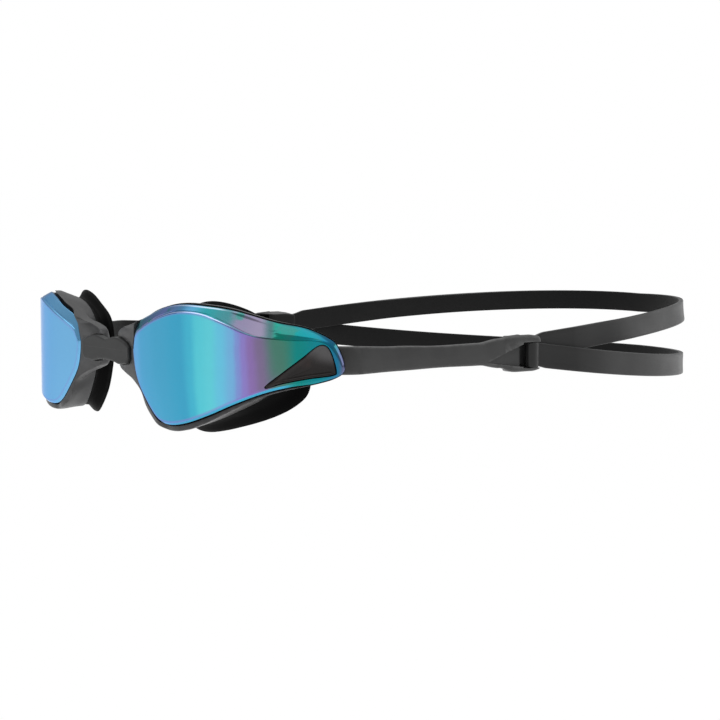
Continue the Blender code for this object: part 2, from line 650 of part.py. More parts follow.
def strap_stations():
    """Left half in plan: (x, y, outward normal x and y, run, share of run)."""
    x0 = (TAIL_X0 + TAIL_X1) / 2
    path = [(x0 + (RUN_X - x0) * (y - SPLIT_Y) / (RUN_Y - SPLIT_Y), y)
            for y in LEAD_YS]
    for k in range(HEAD_STEPS + 1):
        t = k / HEAD_STEPS
        path.append(head_path(t * (0.75 + 0.25 * t)))   # closer at the start
    run = [0.0]
    for start, end in zip(path, path[1:]):
        run.append(run[-1] + math.dist(start, end))
    stations = []
    last = len(path) - 1
    for i, (x, y) in enumerate(path):
        before, after = path[max(0, i - 1)], path[min(last, i + 1)]
        dx, dy = after[0] - before[0], after[1] - before[1]
        if i == last:
            dx, dy = -1.0, 0.0
        length = math.hypot(dx, dy)
        stations.append((x, y, dy / length, -dx / length, run[i], run[i] / run[-1]))
    return stations


def band_section(x, y, z, normal_x, normal_y, lean, width, thickness):
    """Flat band section; lean tips its upper edge in over the head."""
    w, t = width / 2, thickness / 2
    cos, sin = math.cos(lean), math.sin(lean)
    section = []
    for up, out in ((-w, -t), (-w, t), (w, t), (w, -t)):
        level = out * cos - up * sin
        section.append((x + normal_x * level, y + normal_y * level,
                        z + up * cos + out * sin))
    return section


def rear_strap(name, up, z_front, z_back, rise, sag, width, lean_deg):
    """Branch of the strap round the back of the head; up is +1 or -1. The
    upper branch leaves the adjuster inboard of the lower one. Rise and sag
    are the sine and cosine shares in the change of height."""
    loops = []
    for x, y, normal_x, normal_y, run, share in strap_stations():
        z = z_front + (z_back - z_front) * (
            (1 - rise - sag) * share + rise * math.sin(math.pi / 2 * share)
            + sag * (1 - math.cos(math.pi * share)) / 2)
        lean = (math.radians(lean_deg) * smooth_ramp(share, 0.12, 0.32)
                * (1 - smooth_ramp(share, 0.45, 0.85)))
        thickness = BRANCH_T0 + (BRANCH_T - BRANCH_T0) * smooth_ramp(run, 3.0, 20.0)
        layer = -up * (thickness / 2 + LAYER_GAP) * (1 - smooth_ramp(run, 24.0, 44.0))
        loops.append(band_section(x + normal_x * layer, y + normal_y * layer, z,
                                  normal_x, normal_y, lean,
                                  width - BRANCH_NARROWING * share, thickness))
    # slanted front end, clear of the strap end when the branch swings
    loops[0] = [(x, SPLIT_Y + 0.3 + 0.5 * max(0.0, up * (z - TAIL_MID_Z)), z)
                for x, y, z in loops[0]]
    right = [[(-x, y, z) for x, y, z in loop] for loop in reversed(loops[:-1])]
    loft(name, loops + right, STRAP_MAT)


# ------------------------------------------------------------ assembly
for old in list(bpy.data.objects):
    bpy.data.objects.remove(old, do_unlink=True)

nose_bridge()
for tag, side in SIDES:
    for piece in (lens, temple_inlay, frame, gasket, strap_stud, side_arm,
                  adjuster_bar, strap_tail):
        piece(tag, side)
rear_strap("rear_strap_upper", up=1, z_front=3.0, z_back=9.4, rise=1.5,
           sag=-0.08, width=7.5, lean_deg=15.0)
rear_strap("rear_strap_lower", up=-1, z_front=-0.15, z_back=-10.2, rise=1.35,
           sag=-0.25, width=7.9, lean_deg=0.0)
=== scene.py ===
"""Looks of the swim goggles: mirrored wrap lenses, moulded frames, soft ribbed
gaskets, clip-in nose bridge, side arms with strap adjusters and the split
silicone head strap.

Shapes are worked in millimetres and written in metres. +X is the wearer's
left, +Y runs from the lenses to the back of the head, +Z is up. Each left
piece is mirrored for the right (side = 1 or -1). Heights are given BRIDGE_Z
above the origin's level. The lens wrap has its own frame: s runs along it from
nose to temple, z is the height and w the distance outside it.
"""
import math

import bmesh
import bpy
import numpy as np
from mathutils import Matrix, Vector


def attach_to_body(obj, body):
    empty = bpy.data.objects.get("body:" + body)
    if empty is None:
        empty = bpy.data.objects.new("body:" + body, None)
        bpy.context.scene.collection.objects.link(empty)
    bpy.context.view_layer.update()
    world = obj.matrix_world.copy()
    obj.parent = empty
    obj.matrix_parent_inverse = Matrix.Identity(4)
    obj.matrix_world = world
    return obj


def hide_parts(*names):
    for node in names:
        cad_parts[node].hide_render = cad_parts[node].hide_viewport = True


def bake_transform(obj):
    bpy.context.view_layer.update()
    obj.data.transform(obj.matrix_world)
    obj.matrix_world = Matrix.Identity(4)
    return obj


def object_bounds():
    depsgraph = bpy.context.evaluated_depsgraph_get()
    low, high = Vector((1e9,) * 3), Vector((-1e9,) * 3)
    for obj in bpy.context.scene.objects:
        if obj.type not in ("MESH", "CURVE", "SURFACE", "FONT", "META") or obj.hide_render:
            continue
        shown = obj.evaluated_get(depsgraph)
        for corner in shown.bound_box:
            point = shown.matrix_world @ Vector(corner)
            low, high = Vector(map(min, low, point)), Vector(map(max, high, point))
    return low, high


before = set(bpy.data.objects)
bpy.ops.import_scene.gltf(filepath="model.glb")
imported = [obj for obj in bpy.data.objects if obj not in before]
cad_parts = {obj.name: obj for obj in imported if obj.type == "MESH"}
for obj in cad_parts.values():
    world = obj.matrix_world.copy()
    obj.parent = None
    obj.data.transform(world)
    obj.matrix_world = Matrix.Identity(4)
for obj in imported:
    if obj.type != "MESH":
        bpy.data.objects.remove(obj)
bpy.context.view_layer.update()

# ------------------------------------------------------------ dimensions
MM = 0.001
GAP = 0.35                       # clearance between neighbouring pieces
BRIDGE_Z = 3.3
PER = 2                          # spline steps between outline stations
FINE = 4                         # refining factor round each eyecup
SHARP = 38.0                     # default angle of a sharp edge, degrees
LENS_T = 2.2
RAKE, CHIN = 0.04, 0.005         # lean of the nose end, and its curl below z = 0
LENS_MID = (33.0, 0.0)           # s, z
GASKET_MID_X = 37.0
FLOOR_W = -3.0                   # frame face behind the lens
WING_OPEN, WING_W = 55.0, -4.5   # where the temple wing starts, and its back
PLATE_GAP = 0.7
BRIDGE_T = 2.0
PEG_X, PEG_Z = 10.0, BRIDGE_Z
PEG_R, PEG_HOLE_R, PEG_HEAD_R = 1.5, 2.2, 2.9
STUD_Y, STUD_Z = 33.5, 2.0
STUD_R, STUD_HEAD_R, STUD_HOLE_R = 1.8, 3.3, 2.5
ARM_T = 2.2
ARM_X0, ARM_X = 65.9, 71.0       # middle of the arm at its front and behind
ARM_Y0 = 29.4
SLEEVE_Y0, SLEEVE_Y1 = 100.0, 116.0
SLEEVE_X0, SLEEVE_X1 = 65.0, 72.7
SLEEVE_Z0, SLEEVE_Z1 = -4.75, 6.95
SLOT_X0, SLOT_X1 = 66.6, 70.0
SLOT_Y0 = 97.0
SLOT_Z0, SLOT_Z1 = -3.8, 6.0
WINDOW_Y0, WINDOW_Z1 = 108.7, 4.5
OVERRUN = 3.0                    # reach of the cutting tools past the sleeve
BAR_Y0, BAR_Y1 = 111.4, 115.7
BAR_X, BAR_ROLL_X = 70.4, 71.4   # flat side, and start of the rolled side
TAIL_X0, TAIL_X1 = 66.95, 69.6   # strap ends in the adjusters
TAIL_Y0 = 80.0
TAIL_MID_Z = 1.1
SPLIT_Y, RUN_X, RUN_Y = 118.0, 68.5, 134.0
BRANCH_T0, BRANCH_T = 1.2, 1.6
BACK_Y = 228.0

# Eyecup outlines share 23 stations: up from the nose, along the top to the
# temple and back below.
# wrap line seen from above: x, y; s = 0 at the point WRAP_ORIGIN
PLAN = [(4.6, 1.8), (10.6, 1.2), (16.6, 0.6), (23.5, -0.6), (32.0, -1.0),
        (40.6, 0.2), (49.1, 3.4), (57.7, 9.0), (65.1, 16.4), (71.5, 25.6),
        (75.8, 34.2), (78.6, 43.2), (80.6, 52.0)]
WRAP_ORIGIN = 2
# outer edge of the lens: s, z, distance behind the wrap
RIM = [(0.4, 2.9, 0.6), (1.1, 7.4, 0.7), (3.0, 11.9, 1.2), (11.2, 15.1, 2.0),
       (18.0, 17.4, 2.7), (25.4, 18.6, 3.1), (34.2, 18.3, 3.8),
       (44.2, 17.0, 4.6), (57.2, 13.8, 4.4), (66.4, 12.1, 3.4),
       (73.2, 9.3, 2.2), (76.3, 6.4, 1.5), (78.0, -0.5, 1.1),
       (70.5, -3.5, 0.8), (61.7, -4.8, 0.6), (53.8, -6.7, 0.6),
       (45.2, -9.9, 0.6), (36.8, -13.5, 0.6), (29.1, -16.1, 0.6),
       (21.5, -17.2, 0.6), (14.8, -16.2, 0.6), (8.3, -11.1, 0.6),
       (2.4, -4.3, 0.6)]
# ridge round the front face of the lens: s, z
FACE = [(1.1, 2.9), (2.0, 6.4), (4.3, 8.7), (12.0, 12.0), (19.4, 14.7),
        (26.9, 16.4), (34.7, 16.0), (41.8, 13.6), (50.8, 9.9), (61.4, 8.7),
        (70.2, 8.4), (74.3, 5.5), (76.6, -0.4), (70.0, -2.8), (61.3, -4.1),
        (53.5, -6.0), (44.9, -9.2), (36.6, -12.8), (28.9, -15.4),
        (21.7, -16.5), (15.3, -15.6), (9.0, -10.7), (3.1, -4.1)]
# reach of the frame lip outside the rim
LIP = [0, 0, 0, 0.8] + [0.4] * 10 + [0.8, 1.0, 1.4, 1.8, 2.0, 2.0, 2.0, 2.2, 0]
# frame corners at the nose, by station: s, z
HORN = {0: (-10.9, -1.9), 1: (-10.9, 8.3), 2: (-1.2, 11.4), 22: (-2.0, -5.4)}
# rear edge of the frame wall: x, y, z
CUP = [(20.0, 8.8, 2.9), (20.2, 8.8, 7.0), (21.6, 8.8, 11.2),
       (26.0, 9.4, 14.4), (31.5, 10.2, 16.2), (37.5, 11.2, 17.0),
       (44.0, 12.8, 16.8), (50.5, 15.6, 15.2), (56.2, 20.0, 12.0),
       (59.4, 24.0, 9.0), (60.6, 26.2, 6.2), (61.0, 27.2, 3.4),
       (61.1, 27.4, 0.0), (60.6, 26.8, -3.4), (59.0, 24.6, -6.8),
       (55.5, 20.6, -10.2), (50.5, 16.4, -13.4), (44.5, 13.4, -16.2),
       (38.5, 11.4, -18.0), (32.8, 10.2, -18.4), (28.0, 9.4, -16.2),
       (23.2, 8.8, -10.4), (20.6, 8.8, -4.0)]
# rear lip of the gasket: x, y, z
SEAL = [(18.9, 14.3, 3.0), (19.2, 14.1, 7.8), (21.4, 14.0, 12.0),
        (26.4, 13.9, 15.4), (32.2, 14.4, 18.1), (38.2, 15.3, 19.3),
        (44.8, 17.3, 18.9), (51.4, 20.6, 16.9), (57.2, 24.6, 13.4),
        (60.6, 29.4, 10.2), (61.8, 32.0, 7.0), (62.4, 33.4, 3.6),
        (62.6, 34.2, -0.4), (62.5, 34.8, -5.2), (61.7, 33.4, -9.4),
        (58.9, 29.2, -13.2), (53.8, 24.6, -16.2), (46.8, 20.8, -18.6),
        (39.8, 17.6, -20.4), (33.4, 15.7, -20.9), (28.4, 14.5, -18.9),
        (23.0, 14.3, -12.4), (20.0, 14.3, -4.2)]
# temple inlay: s, z
INLAY = [(54.4, -4.9), (59.4, -0.8), (65.3, 3.6), (69.8, 7.0), (72.3, 7.0),
         (73.9, 4.6), (75.2, -0.1), (74.2, -1.4), (67.0, -2.3), (59.8, -3.6)]
# end plate of the nose bridge, clockwise from above: x, z, corner radius
PLATE = [(5.0, 7.0, 0.8), (8.2, 6.9, 1.2), (12.9, 5.6, 0.7),
         (14.9, 4.3, 0.45), (14.9, 0.9, 0.45), (13.2, -0.9, 0.5),
         (8.4, -1.3, 0.9)]
# lower and upper edges of the side arm: y, z, z
ARM_EDGES = [(27.0, -2.0, 6.0), (33.0, -2.6, 6.5), (43.0, -2.3, 6.2),
             (60.0, -2.0, 5.5), (77.0, -1.8, 4.9), (92.0, -2.0, 5.0),
             (100.0, -3.2, 6.0), (106.0, -4.6, 6.8), (109.0, -4.9, 7.0)]


# ---------------------------------------------------------------- curves
def between(before, start, end, after, t):
    """Catmull-Rom point at t on the span from start to end."""
    return tuple(
        0.5 * (2 * b + (c - a) * t + (2 * a - 5 * b + 4 * c - d) * t * t
               + (3 * b - a - 3 * c + d) * t ** 3)
        for a, b, c, d in zip(before, start, end, after))


def spline(points, per, closed=True):
    count = len(points)
    out = []
    for i in range(count if closed else count - 1):
        if closed:
            near = [points[(i + k - 1) % count] for k in range(4)]
        else:
            near = [points[min(max(i + k - 1, 0), count - 1)] for k in range(4)]
        out += [between(*near, j / per) for j in range(per)]
    if not closed:
        out.append(tuple(points[-1]))
    return out


def run_lengths(points):
    """Distance travelled along a line on reaching each of its points."""
    run = [0.0]
    for start, end in zip(points, points[1:]):
        run.append(run[-1] + math.hypot(end[0] - start[0], end[1] - start[1]))
    return run


def smooth(t):
    t = min(1.0, max(0.0, t))
    return t * t * (3 - 2 * t)


def ramp(value, start, end):
    return smooth((value - start) / (end - start))


def round_off(share):
    """Quarter-circle drop from 0 to 1 as share goes from 0 to 1."""
    return 1 - math.sqrt(max(0.0, 1 - share * share))


def lerp(start, end, share):
    return tuple(p + (q - p) * share for p, q in zip(start, end))


WRAP_LINE = spline(PLAN, 16, closed=False)
WRAP_RUN = run_lengths(WRAP_LINE)
WRAP_START = WRAP_RUN[WRAP_ORIGIN * 16]


def plan(s):
    """x, y of the wrap line at s, and its outward normal."""
    run = s + WRAP_START
    i = int(np.clip(np.searchsorted(WRAP_RUN, run) - 1, 0, len(WRAP_RUN) - 2))
    (x0, y0), (x1, y1) = WRAP_LINE[i], WRAP_LINE[i + 1]
    length = WRAP_RUN[i + 1] - WRAP_RUN[i]
    share = (run - WRAP_RUN[i]) / length
    return (x0 + (x1 - x0) * share, y0 + (y1 - y0) * share,
            (y1 - y0) / length, -((x1 - x0) / length))


def set_back(s, z):
    """Shift in y that leans the nose end of the wrap."""
    fade = 1.0 - smooth((s - 4.0) / 32.0)
    return fade * (-RAKE * z + (CHIN * z * z if z < 0 else 0.0))


def shell(s, z, w):
    """Point of the wrap frame in x, y, z."""
    x, y, normal_x, normal_y = plan(s)
    return (x + normal_x * w, y + normal_y * w + set_back(s, z), z - BRIDGE_Z)


def offset(curve, distance):
    """Flat clockwise outline moved outwards, by one distance or a list of them."""
    count = len(curve)
    out = []
    for i in range(count):
        before, after = curve[i - 1], curve[(i + 1) % count]
        dx, dz = after[0] - before[0], after[1] - before[1]
        length = math.hypot(dx, dz) or 1.0
        d = distance[i] if isinstance(distance, list) else distance
        out.append((curve[i][0] - dz / length * d,
                    curve[i][1] + dx / length * d))
    return out


def inset3(curve, distance, dy=0.0):
    """Loop drawn in towards its middle in x and z, and moved in y."""
    mid_x = sum(p[0] for p in curve) / len(curve)
    out = []
    for x, y, z in curve:
        r = math.hypot(x - mid_x, z) or 1.0
        out.append((x - (x - mid_x) / r * distance, y + dy,
                    z - z / r * distance))
    return out


def lower(curve):
    return [(x, y, z - BRIDGE_Z) for x, y, z in curve]


def fillet(points, radii, seg=3, closed=True):
    """Polyline with its corners rounded, the same count for every call."""
    count = len(points)
    out = []
    for i, p in enumerate(points):
        r = radii[i] if isinstance(radii, (list, tuple)) else radii
        if r <= 0 or (not closed and i in (0, count - 1)):
            out.append(tuple(p))
            continue
        before, after = points[i - 1], points[(i + 1) % count]
        to_before = math.dist(before, p) or 1e-6
        to_after = math.dist(after, p) or 1e-6
        start = lerp(p, before, min(r, 0.45 * to_before) / to_before)
        end = lerp(p, after, min(r, 0.45 * to_after) / to_after)
        for k in range(seg + 1):
            t = k / seg
            out.append(tuple((1 - t) ** 2 * u + 2 * t * (1 - t) * v + t * t * w
                             for u, v, w in zip(start, p, end)))
    return out


def refine(loops, steps):
    """More loops between the given ones, on smooth curves through them."""
    flat = [tuple(c for p in loop for c in p) for loop in loops]
    return [[tuple(row[i:i + 3]) for i in range(0, len(row), 3)]
            for row in spline(flat, steps)]


def circle_x(x, y, z, r, count=40):
    """Circle about an axis along x."""
    return [(x, y + r * math.cos(2 * math.pi * i / count),
             z + r * math.sin(2 * math.pi * i / count)) for i in range(count)]


def circle_y(x, y, z, r, count):
    """Circle about an axis along y."""
    return [(x + r * math.cos(2 * math.pi * i / count), y,
             z + r * math.sin(2 * math.pi * i / count)) for i in range(count)]


RIM_LINE, FACE_LINE, CUP_LINE, SEAL_LINE = (
    spline(points, PER) for points in (RIM, FACE, CUP, SEAL))
COUNT = len(RIM_LINE)


# ---------------------------------------------------------------- meshes
def put(name, data):
    ob = bpy.data.objects.new(name, data)
    bpy.context.scene.collection.objects.link(ob)
    return ob


def shade(mesh, sharp=SHARP):
    mesh.shade_smooth()
    mesh.set_sharp_from_angle(angle=math.radians(sharp))


def build(name, verts, faces, material, side=1, sharp=SHARP):
    mesh = bpy.data.meshes.new(name)
    mesh.from_pydata([(x * side * MM, y * MM, z * MM) for x, y, z in verts],
                     [], faces)
    bm = bmesh.new()
    bm.from_mesh(mesh)
    bmesh.ops.remove_doubles(bm, verts=bm.verts, dist=1e-7)
    bmesh.ops.recalc_face_normals(bm, faces=bm.faces)
    if bm.calc_volume(signed=True) < 0:
        bmesh.ops.reverse_faces(bm, faces=bm.faces)
    bm.to_mesh(mesh)
    bm.free()
    shade(mesh, sharp)
    if material:
        mesh.materials.append(material)
    return put(name, mesh)


def ring_faces(loops, closed):
    count = len(loops[0])
    faces = []
    for k in range(len(loops) if closed else len(loops) - 1):
        a, b = k * count, ((k + 1) % len(loops)) * count
        for i in range(count):
            j = (i + 1) % count
            faces.append((a + i, a + j, b + j, b + i))
    return faces


def loft(name, loops, material, side=1, closed=False, sharp=SHARP):
    """Skin over the loops: a ring if closed, else capped at both ends."""
    verts = [p for loop in loops for p in loop]
    faces = ring_faces(loops, closed)
    if not closed:
        count = len(loops[0])
        faces.append(tuple(range(count - 1, -1, -1)))
        faces.append(tuple(range(len(verts) - count, len(verts))))
    return build(name, verts, faces, material, side, sharp)


def domed(name, rings, first, last, material, side, sharp):
    """Skin over the rings, fanned to a point at either end."""
    count = len(rings[0])
    verts = [p for ring in rings for p in ring] + [first, last]
    faces = ring_faces(rings, False)
    first_at, last_at = len(verts) - 2, len(verts) - 1
    end = (len(rings) - 1) * count
    for i in range(count):
        j = (i + 1) % count
        faces.append((i, j, first_at))
        faces.append((end + j, end + i, last_at))
    return build(name, verts, faces, material, side, sharp)


def cut(ob, tools, kind="DIFFERENCE", sharp=SHARP):
    """Applies the Booleans and removes the tools."""
    for tool in tools:
        modifier = ob.modifiers.new("cut", "BOOLEAN")
        modifier.operation = kind
        modifier.solver = "EXACT"
        modifier.object = tool
    depsgraph = bpy.context.evaluated_depsgraph_get()
    depsgraph.update()
    mesh = bpy.data.meshes.new_from_object(ob.evaluated_get(depsgraph))
    ob.modifiers.clear()
    old = ob.data
    mesh.name = old.name + "_cut"
    ob.data = mesh
    bpy.data.meshes.remove(old)
    for tool in tools:
        bpy.data.objects.remove(tool, do_unlink=True)
    shade(mesh, sharp)


def join(name, parts):
    """One object out of several separate closed pieces of the same body."""
    bm = bmesh.new()
    for part in parts:
        bm.from_mesh(part.data)
    mesh = bpy.data.meshes.new(name)
    bm.to_mesh(mesh)
    bm.free()
    for material in parts[0].data.materials:
        mesh.materials.append(material)
    ob = put(name, mesh)
    for part in parts:
        bpy.data.objects.remove(part, do_unlink=True)
    shade(mesh)
    return ob


def float_attribute(mesh, name, values):
    attribute = mesh.attributes.new(name, "FLOAT", "POINT")
    attribute.data.foreach_set("value", np.array(values, np.float32))


def attach(ob, body, node):
    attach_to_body(ob, body)
    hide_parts(node)


# ----------------------------------------------------------- node helpers
def srgb(r, g, b):
    """Linear colour from 0-255 sRGB values."""
    return tuple(((c / 255 + 0.055) / 1.055) ** 2.4 if c > 10 else c / 3294.6
                 for c in (r, g, b)) + (1.0,)


def tone(base, factor, plus=0.0):
    return tuple(min(1.0, c * factor + plus) for c in base[:3]) + (1.0,)


class NodeTree:
    """Short ways to add nodes to a material or world."""

    def __init__(self, owner):
        self.owner = owner
        owner.use_nodes = True
        self.tree = owner.node_tree

    def feed(self, socket, value):
        """Links the socket if the value is an output, else sets it."""
        if isinstance(value, bpy.types.NodeSocket):
            self.tree.links.new(value, socket)
        else:
            socket.default_value = value

    def add(self, kind, **settings):
        node = self.tree.nodes.new("ShaderNode" + kind)
        for key, value in settings.items():
            if key in node.inputs:
                self.feed(node.inputs[key], value)
            else:
                setattr(node, key, value)
        return node

    def principled(self, **inputs):
        node = self.tree.nodes["Principled BSDF"]
        for key, value in inputs.items():
            self.feed(node.inputs[key.replace("_", " ")], value)

    def attribute(self, name):
        return self.add("Attribute", attribute_name=name).outputs["Fac"]

    def math(self, operation, *values):
        node = self.add("Math", operation=operation)
        for socket, value in zip(node.inputs, values):
            self.feed(socket, value)
        return node.outputs[0]

    def times(self, product, *factors):
        for factor in factors:
            product = self.math("MULTIPLY", product, factor)
        return product

    def scale_add(self, value, by, plus):
        return self.math("MULTIPLY_ADD", value, by, plus)

    def inverse(self, value):
        return self.math("SUBTRACT", 1.0, value)

    def map_range(self, value, start, end, kind="LINEAR"):
        node = self.add("MapRange", interpolation_type=kind)
        for socket, part in zip(node.inputs, (value, start, end)):
            self.feed(socket, part)
        return node.outputs[0]

    def smoothstep(self, value, start, end):
        return self.map_range(value, start, end, "SMOOTHSTEP")

    def window(self, value, first, second):
        """Product of two smooth steps, each given by its start and end."""
        return self.times(self.smoothstep(value, *first),
                          self.smoothstep(value, *second))

    def ramp(self, factor, stops):
        """Eased colour ramp; stops are (position, colour)."""
        node = self.add("ValToRGB")
        node.color_ramp.interpolation = "EASE"
        elements = node.color_ramp.elements
        while len(elements) > 1:
            elements.remove(elements[-1])
        elements[0].position, elements[0].color = stops[0]
        for position, colour in stops[1:]:
            elements.new(position).color = colour
        self.feed(node.inputs[0], factor)
        return node.outputs[0]

    def mix(self, factor, first, second):
        node = self.add("Mix", data_type="RGBA")
        for i, value in ((0, factor), (6, first), (7, second)):
            self.feed(node.inputs[i], value)
        return node.outputs[2]

    def mix_shader(self, factor, first, second):
        node = self.add("MixShader")
        for socket, value in zip(node.inputs, (factor, first, second)):
            self.feed(socket, value)
        return node.outputs[0]

    def noise(self, scale, detail=4.0, rough=0.55, vector=None):
        if vector is None:
            coords = (self.tree.nodes.get("Texture Coordinate")
                      or self.add("TexCoord"))
            vector = coords.outputs["Object"]
        return self.add("TexNoise", Scale=scale, Detail=detail,
                        Roughness=rough, Vector=vector).outputs[0]

    def bump(self, height, strength, distance):
        node = self.add("Bump", Strength=strength, Distance=distance,
                        Height=height)
        self.principled(Normal=node.outputs[0])


def new_material(name):
    return NodeTree(bpy.data.materials.new(name))


# -------------------------------------------------------------- materials
def soft_material(name, base, rough, grain, sheen, spec, edge=1.8):
    """Silicone or satin plastic: fine moulded grain (mm), cloudy roughness, painted
    shade in the hollows, rubbed edges with a painted highlight, paler by the factor edge."""
    m = new_material(name)
    spread = 0.16                # clouding of the base colour either way
    cloud = m.noise(90.0, detail=3.0)
    colour = m.ramp(cloud, [(0.3, tone(base, 1 - spread)),
                            (0.72, tone(base, 1 + spread))])
    # pointiness is 0.5 where flat, more on edges, less in hollows
    pointiness = m.add("NewGeometry").outputs["Pointiness"]
    # painted highlight: edges made paler by the factor edge, broken up by noise; the same
    # mask marks rubbing wear that polishes them
    wear_and_edge_highlight = m.smoothstep(pointiness, 0.505, 0.56)
    wear_and_edge_highlight = m.times(wear_and_edge_highlight, m.smoothstep(m.noise(420.0, detail=3.0), 0.3, 0.62))
    colour = m.mix(wear_and_edge_highlight, colour, tone(base, edge, plus=0.004))
    # painted shade: hollows darkened
    hollow_shade = m.smoothstep(pointiness, 0.495, 0.45)
    colour = m.mix(m.times(hollow_shade, 0.6), colour, tone(base, 0.4))
    # clouds and grain roughen the surface, rubbing polishes it
    fine = m.noise(2600.0, detail=2.0, rough=0.6)
    roughness = m.scale_add(cloud, by=0.22, plus=rough - 0.11)
    roughness = m.scale_add(fine, by=0.10, plus=roughness)
    roughness = m.scale_add(wear_and_edge_highlight, by=-0.06, plus=roughness)
    middle = m.noise(700.0, detail=3.0, rough=0.5)
    m.bump(m.scale_add(middle, by=0.5, plus=fine),
           strength=0.35, distance=grain * MM)
    m.principled(Base_Color=colour, Roughness=roughness,
                 Specular_IOR_Level=spec, Sheen_Weight=sheen,
                 Sheen_Roughness=0.45, Coat_Roughness=0.3)
    return m.owner


# film colour by viewing angle, as a share of 90 degrees
FILM = [
    (0.020, srgb(10, 122, 100)), (0.055, srgb(66, 114, 100)),
    (0.100, srgb(116, 101, 134)), (0.130, srgb(130, 104, 162)),
    (0.155, srgb(132, 118, 186)), (0.178, srgb(120, 138, 198)),
    (0.202, srgb(108, 166, 208)), (0.255, srgb(96, 184, 212)),
    (0.295, srgb(90, 194, 206)), (0.340, srgb(82, 190, 204)),
    (0.390, srgb(64, 170, 196)), (0.450, srgb(56, 153, 187)),
    (0.600, srgb(64, 153, 188)), (0.71, srgb(72, 156, 192)),
    (0.82, srgb(98, 164, 208)), (0.91, srgb(112, 150, 204)),
    (0.96, srgb(122, 118, 186)), (1.0, srgb(122, 100, 170))]
# colours by place along the wrap, as a share of FILM_REACH mm
FILM_REACH = 80.0
# temple end: green to teal and on to a blue rim
TEMPLE_FILM = [
    (0.72, srgb(0, 124, 100)), (0.80, srgb(0, 124, 120)),
    (0.88, srgb(0, 122, 134)), (0.945, srgb(20, 104, 138)),
    (0.975, srgb(92, 82, 112))]
# bevel above the face: violet at the nose, grey-violet in the channel,
# green and teal from the step to the temple
BEVEL_FILM = [
    (0.00, srgb(48, 84, 78)), (0.07, srgb(44, 106, 92)),
    (0.12, srgb(72, 104, 128)), (0.17, srgb(96, 112, 150)),
    (0.26, srgb(110, 116, 172)), (0.36, srgb(76, 140, 178)),
    (0.45, srgb(20, 122, 126)), (0.53, srgb(50, 110, 116)),
    (0.58, srgb(112, 106, 132)), (0.66, srgb(120, 112, 136)),
    (0.70, srgb(60, 96, 98)), (0.725, srgb(0, 130, 112)),
    (0.84, srgb(0, 124, 134)), (0.93, srgb(12, 102, 136)),
    (0.975, srgb(94, 82, 112))]


def facing_angle(m):
    """Angle between the surface and the view, 0 face-on to 1 edge-on."""
    geometry = m.add("NewGeometry")
    dot = m.add("VectorMath", operation="DOT_PRODUCT")
    m.feed(dot.inputs[0], geometry.outputs["Normal"])
    m.feed(dot.inputs[1], geometry.outputs["Incoming"])
    cosine = m.math("MINIMUM", m.math("ABSOLUTE", dot.outputs["Value"]), 1.0)
    return m.math("DIVIDE", m.math("ARCCOSINE", cosine), math.pi / 2)


def film_colour(m, angle, arc, cool, brow):
    wander = m.scale_add(m.noise(60.0, detail=2.0), by=0.03, plus=-0.015)
    angle = m.math("ADD", angle, wander)
    angle = m.math("MAXIMUM", angle, m.times(brow, 0.55))
    film = m.ramp(angle, FILM)
    temple = m.ramp(m.math("DIVIDE", arc, FILM_REACH), TEMPLE_FILM)
    # painted reflection: the wearer's right lens is paler where seen at a slant
    right_lens_reflection = m.times(cool, m.smoothstep(angle, 0.42, 0.56), 0.62)
    film = m.mix(right_lens_reflection, film, srgb(124, 174, 220))
    return m.mix(m.smoothstep(arc, 59.0, 64.0), film, temple)


def bevel_colour(m, colour, on_bevel, arc, bevel):
    top = m.ramp(m.math("DIVIDE", arc, FILM_REACH), BEVEL_FILM)
    colour = m.mix(on_bevel, colour, top)
    # violet near the ridge at the nose end
    low = m.window(1.0, (0, 1), (0, 1)) if False else m.times(
        m.smoothstep(bevel, 1.1, 0.5), m.smoothstep(arc, 22.0, 12.0))
    colour = m.mix(m.times(on_bevel, low, 0.7), colour, srgb(132, 112, 158))
    # soft clouding of the film
    cloud = m.smoothstep(m.noise(150.0, detail=3.0), 0.5, 0.66)
    return m.mix(m.times(on_bevel, cloud), colour, srgb(40, 120, 112))


def edge_lines(m, colour, arc, bevel, high, cool, brow):
    # violet fringe just inside the ridge, except at the brow and temple
    calm = m.times(m.smoothstep(arc, 46.0, 55.0), high)
    calm = m.math("MAXIMUM", calm, m.smoothstep(arc, 52.0, 57.0))
    calm = m.math("MAXIMUM", calm, brow)
    fringe = m.times(m.window(bevel, (-0.75, -0.15), (0.35, 0.0)),
                     m.inverse(calm), 0.5)
    colour = m.mix(fringe, colour, srgb(128, 112, 190))
    # painted highlight: a pale catch line on the rolled ridge, faint on the right lens
    reach = m.times(high, m.window(arc, (3.0, 10.0), (48.0, 40.0)),
                    m.scale_add(cool, by=-0.9, plus=1.0))
    bead = m.times(m.window(bevel, (0.02, 0.12), (0.34, 0.22)), reach, 0.75)
    colour = m.mix(bead, colour, srgb(206, 206, 236))
    # painted shade: the groove outside the ridge in the upper channel is darkened
    groove_shade = m.times(m.window(bevel, (0.02, 0.12), (0.42, 0.26)), high,
                     m.window(arc, (40.0, 46.0), (60.0, 56.0)), 0.62)
    colour = m.mix(groove_shade, colour, srgb(40, 50, 62))
    # painted highlight: a broken pale line along the upper rim
    highlight_breaks = m.smoothstep(m.noise(75.0, detail=2.0), 0.38, 0.56)
    rim_highlight = m.times(
        m.window(m.attribute("edge"), (0.55, 0.30), (0.05, 0.20)), reach,
        m.times(highlight_breaks, 0.65))
    colour = m.mix(rim_highlight, colour, srgb(206, 218, 240))
    # dark line at the very rim
    outermost = m.smoothstep(m.attribute("rim"), 0.75, 0.25)
    return m.mix(outermost, colour, srgb(58, 66, 86))


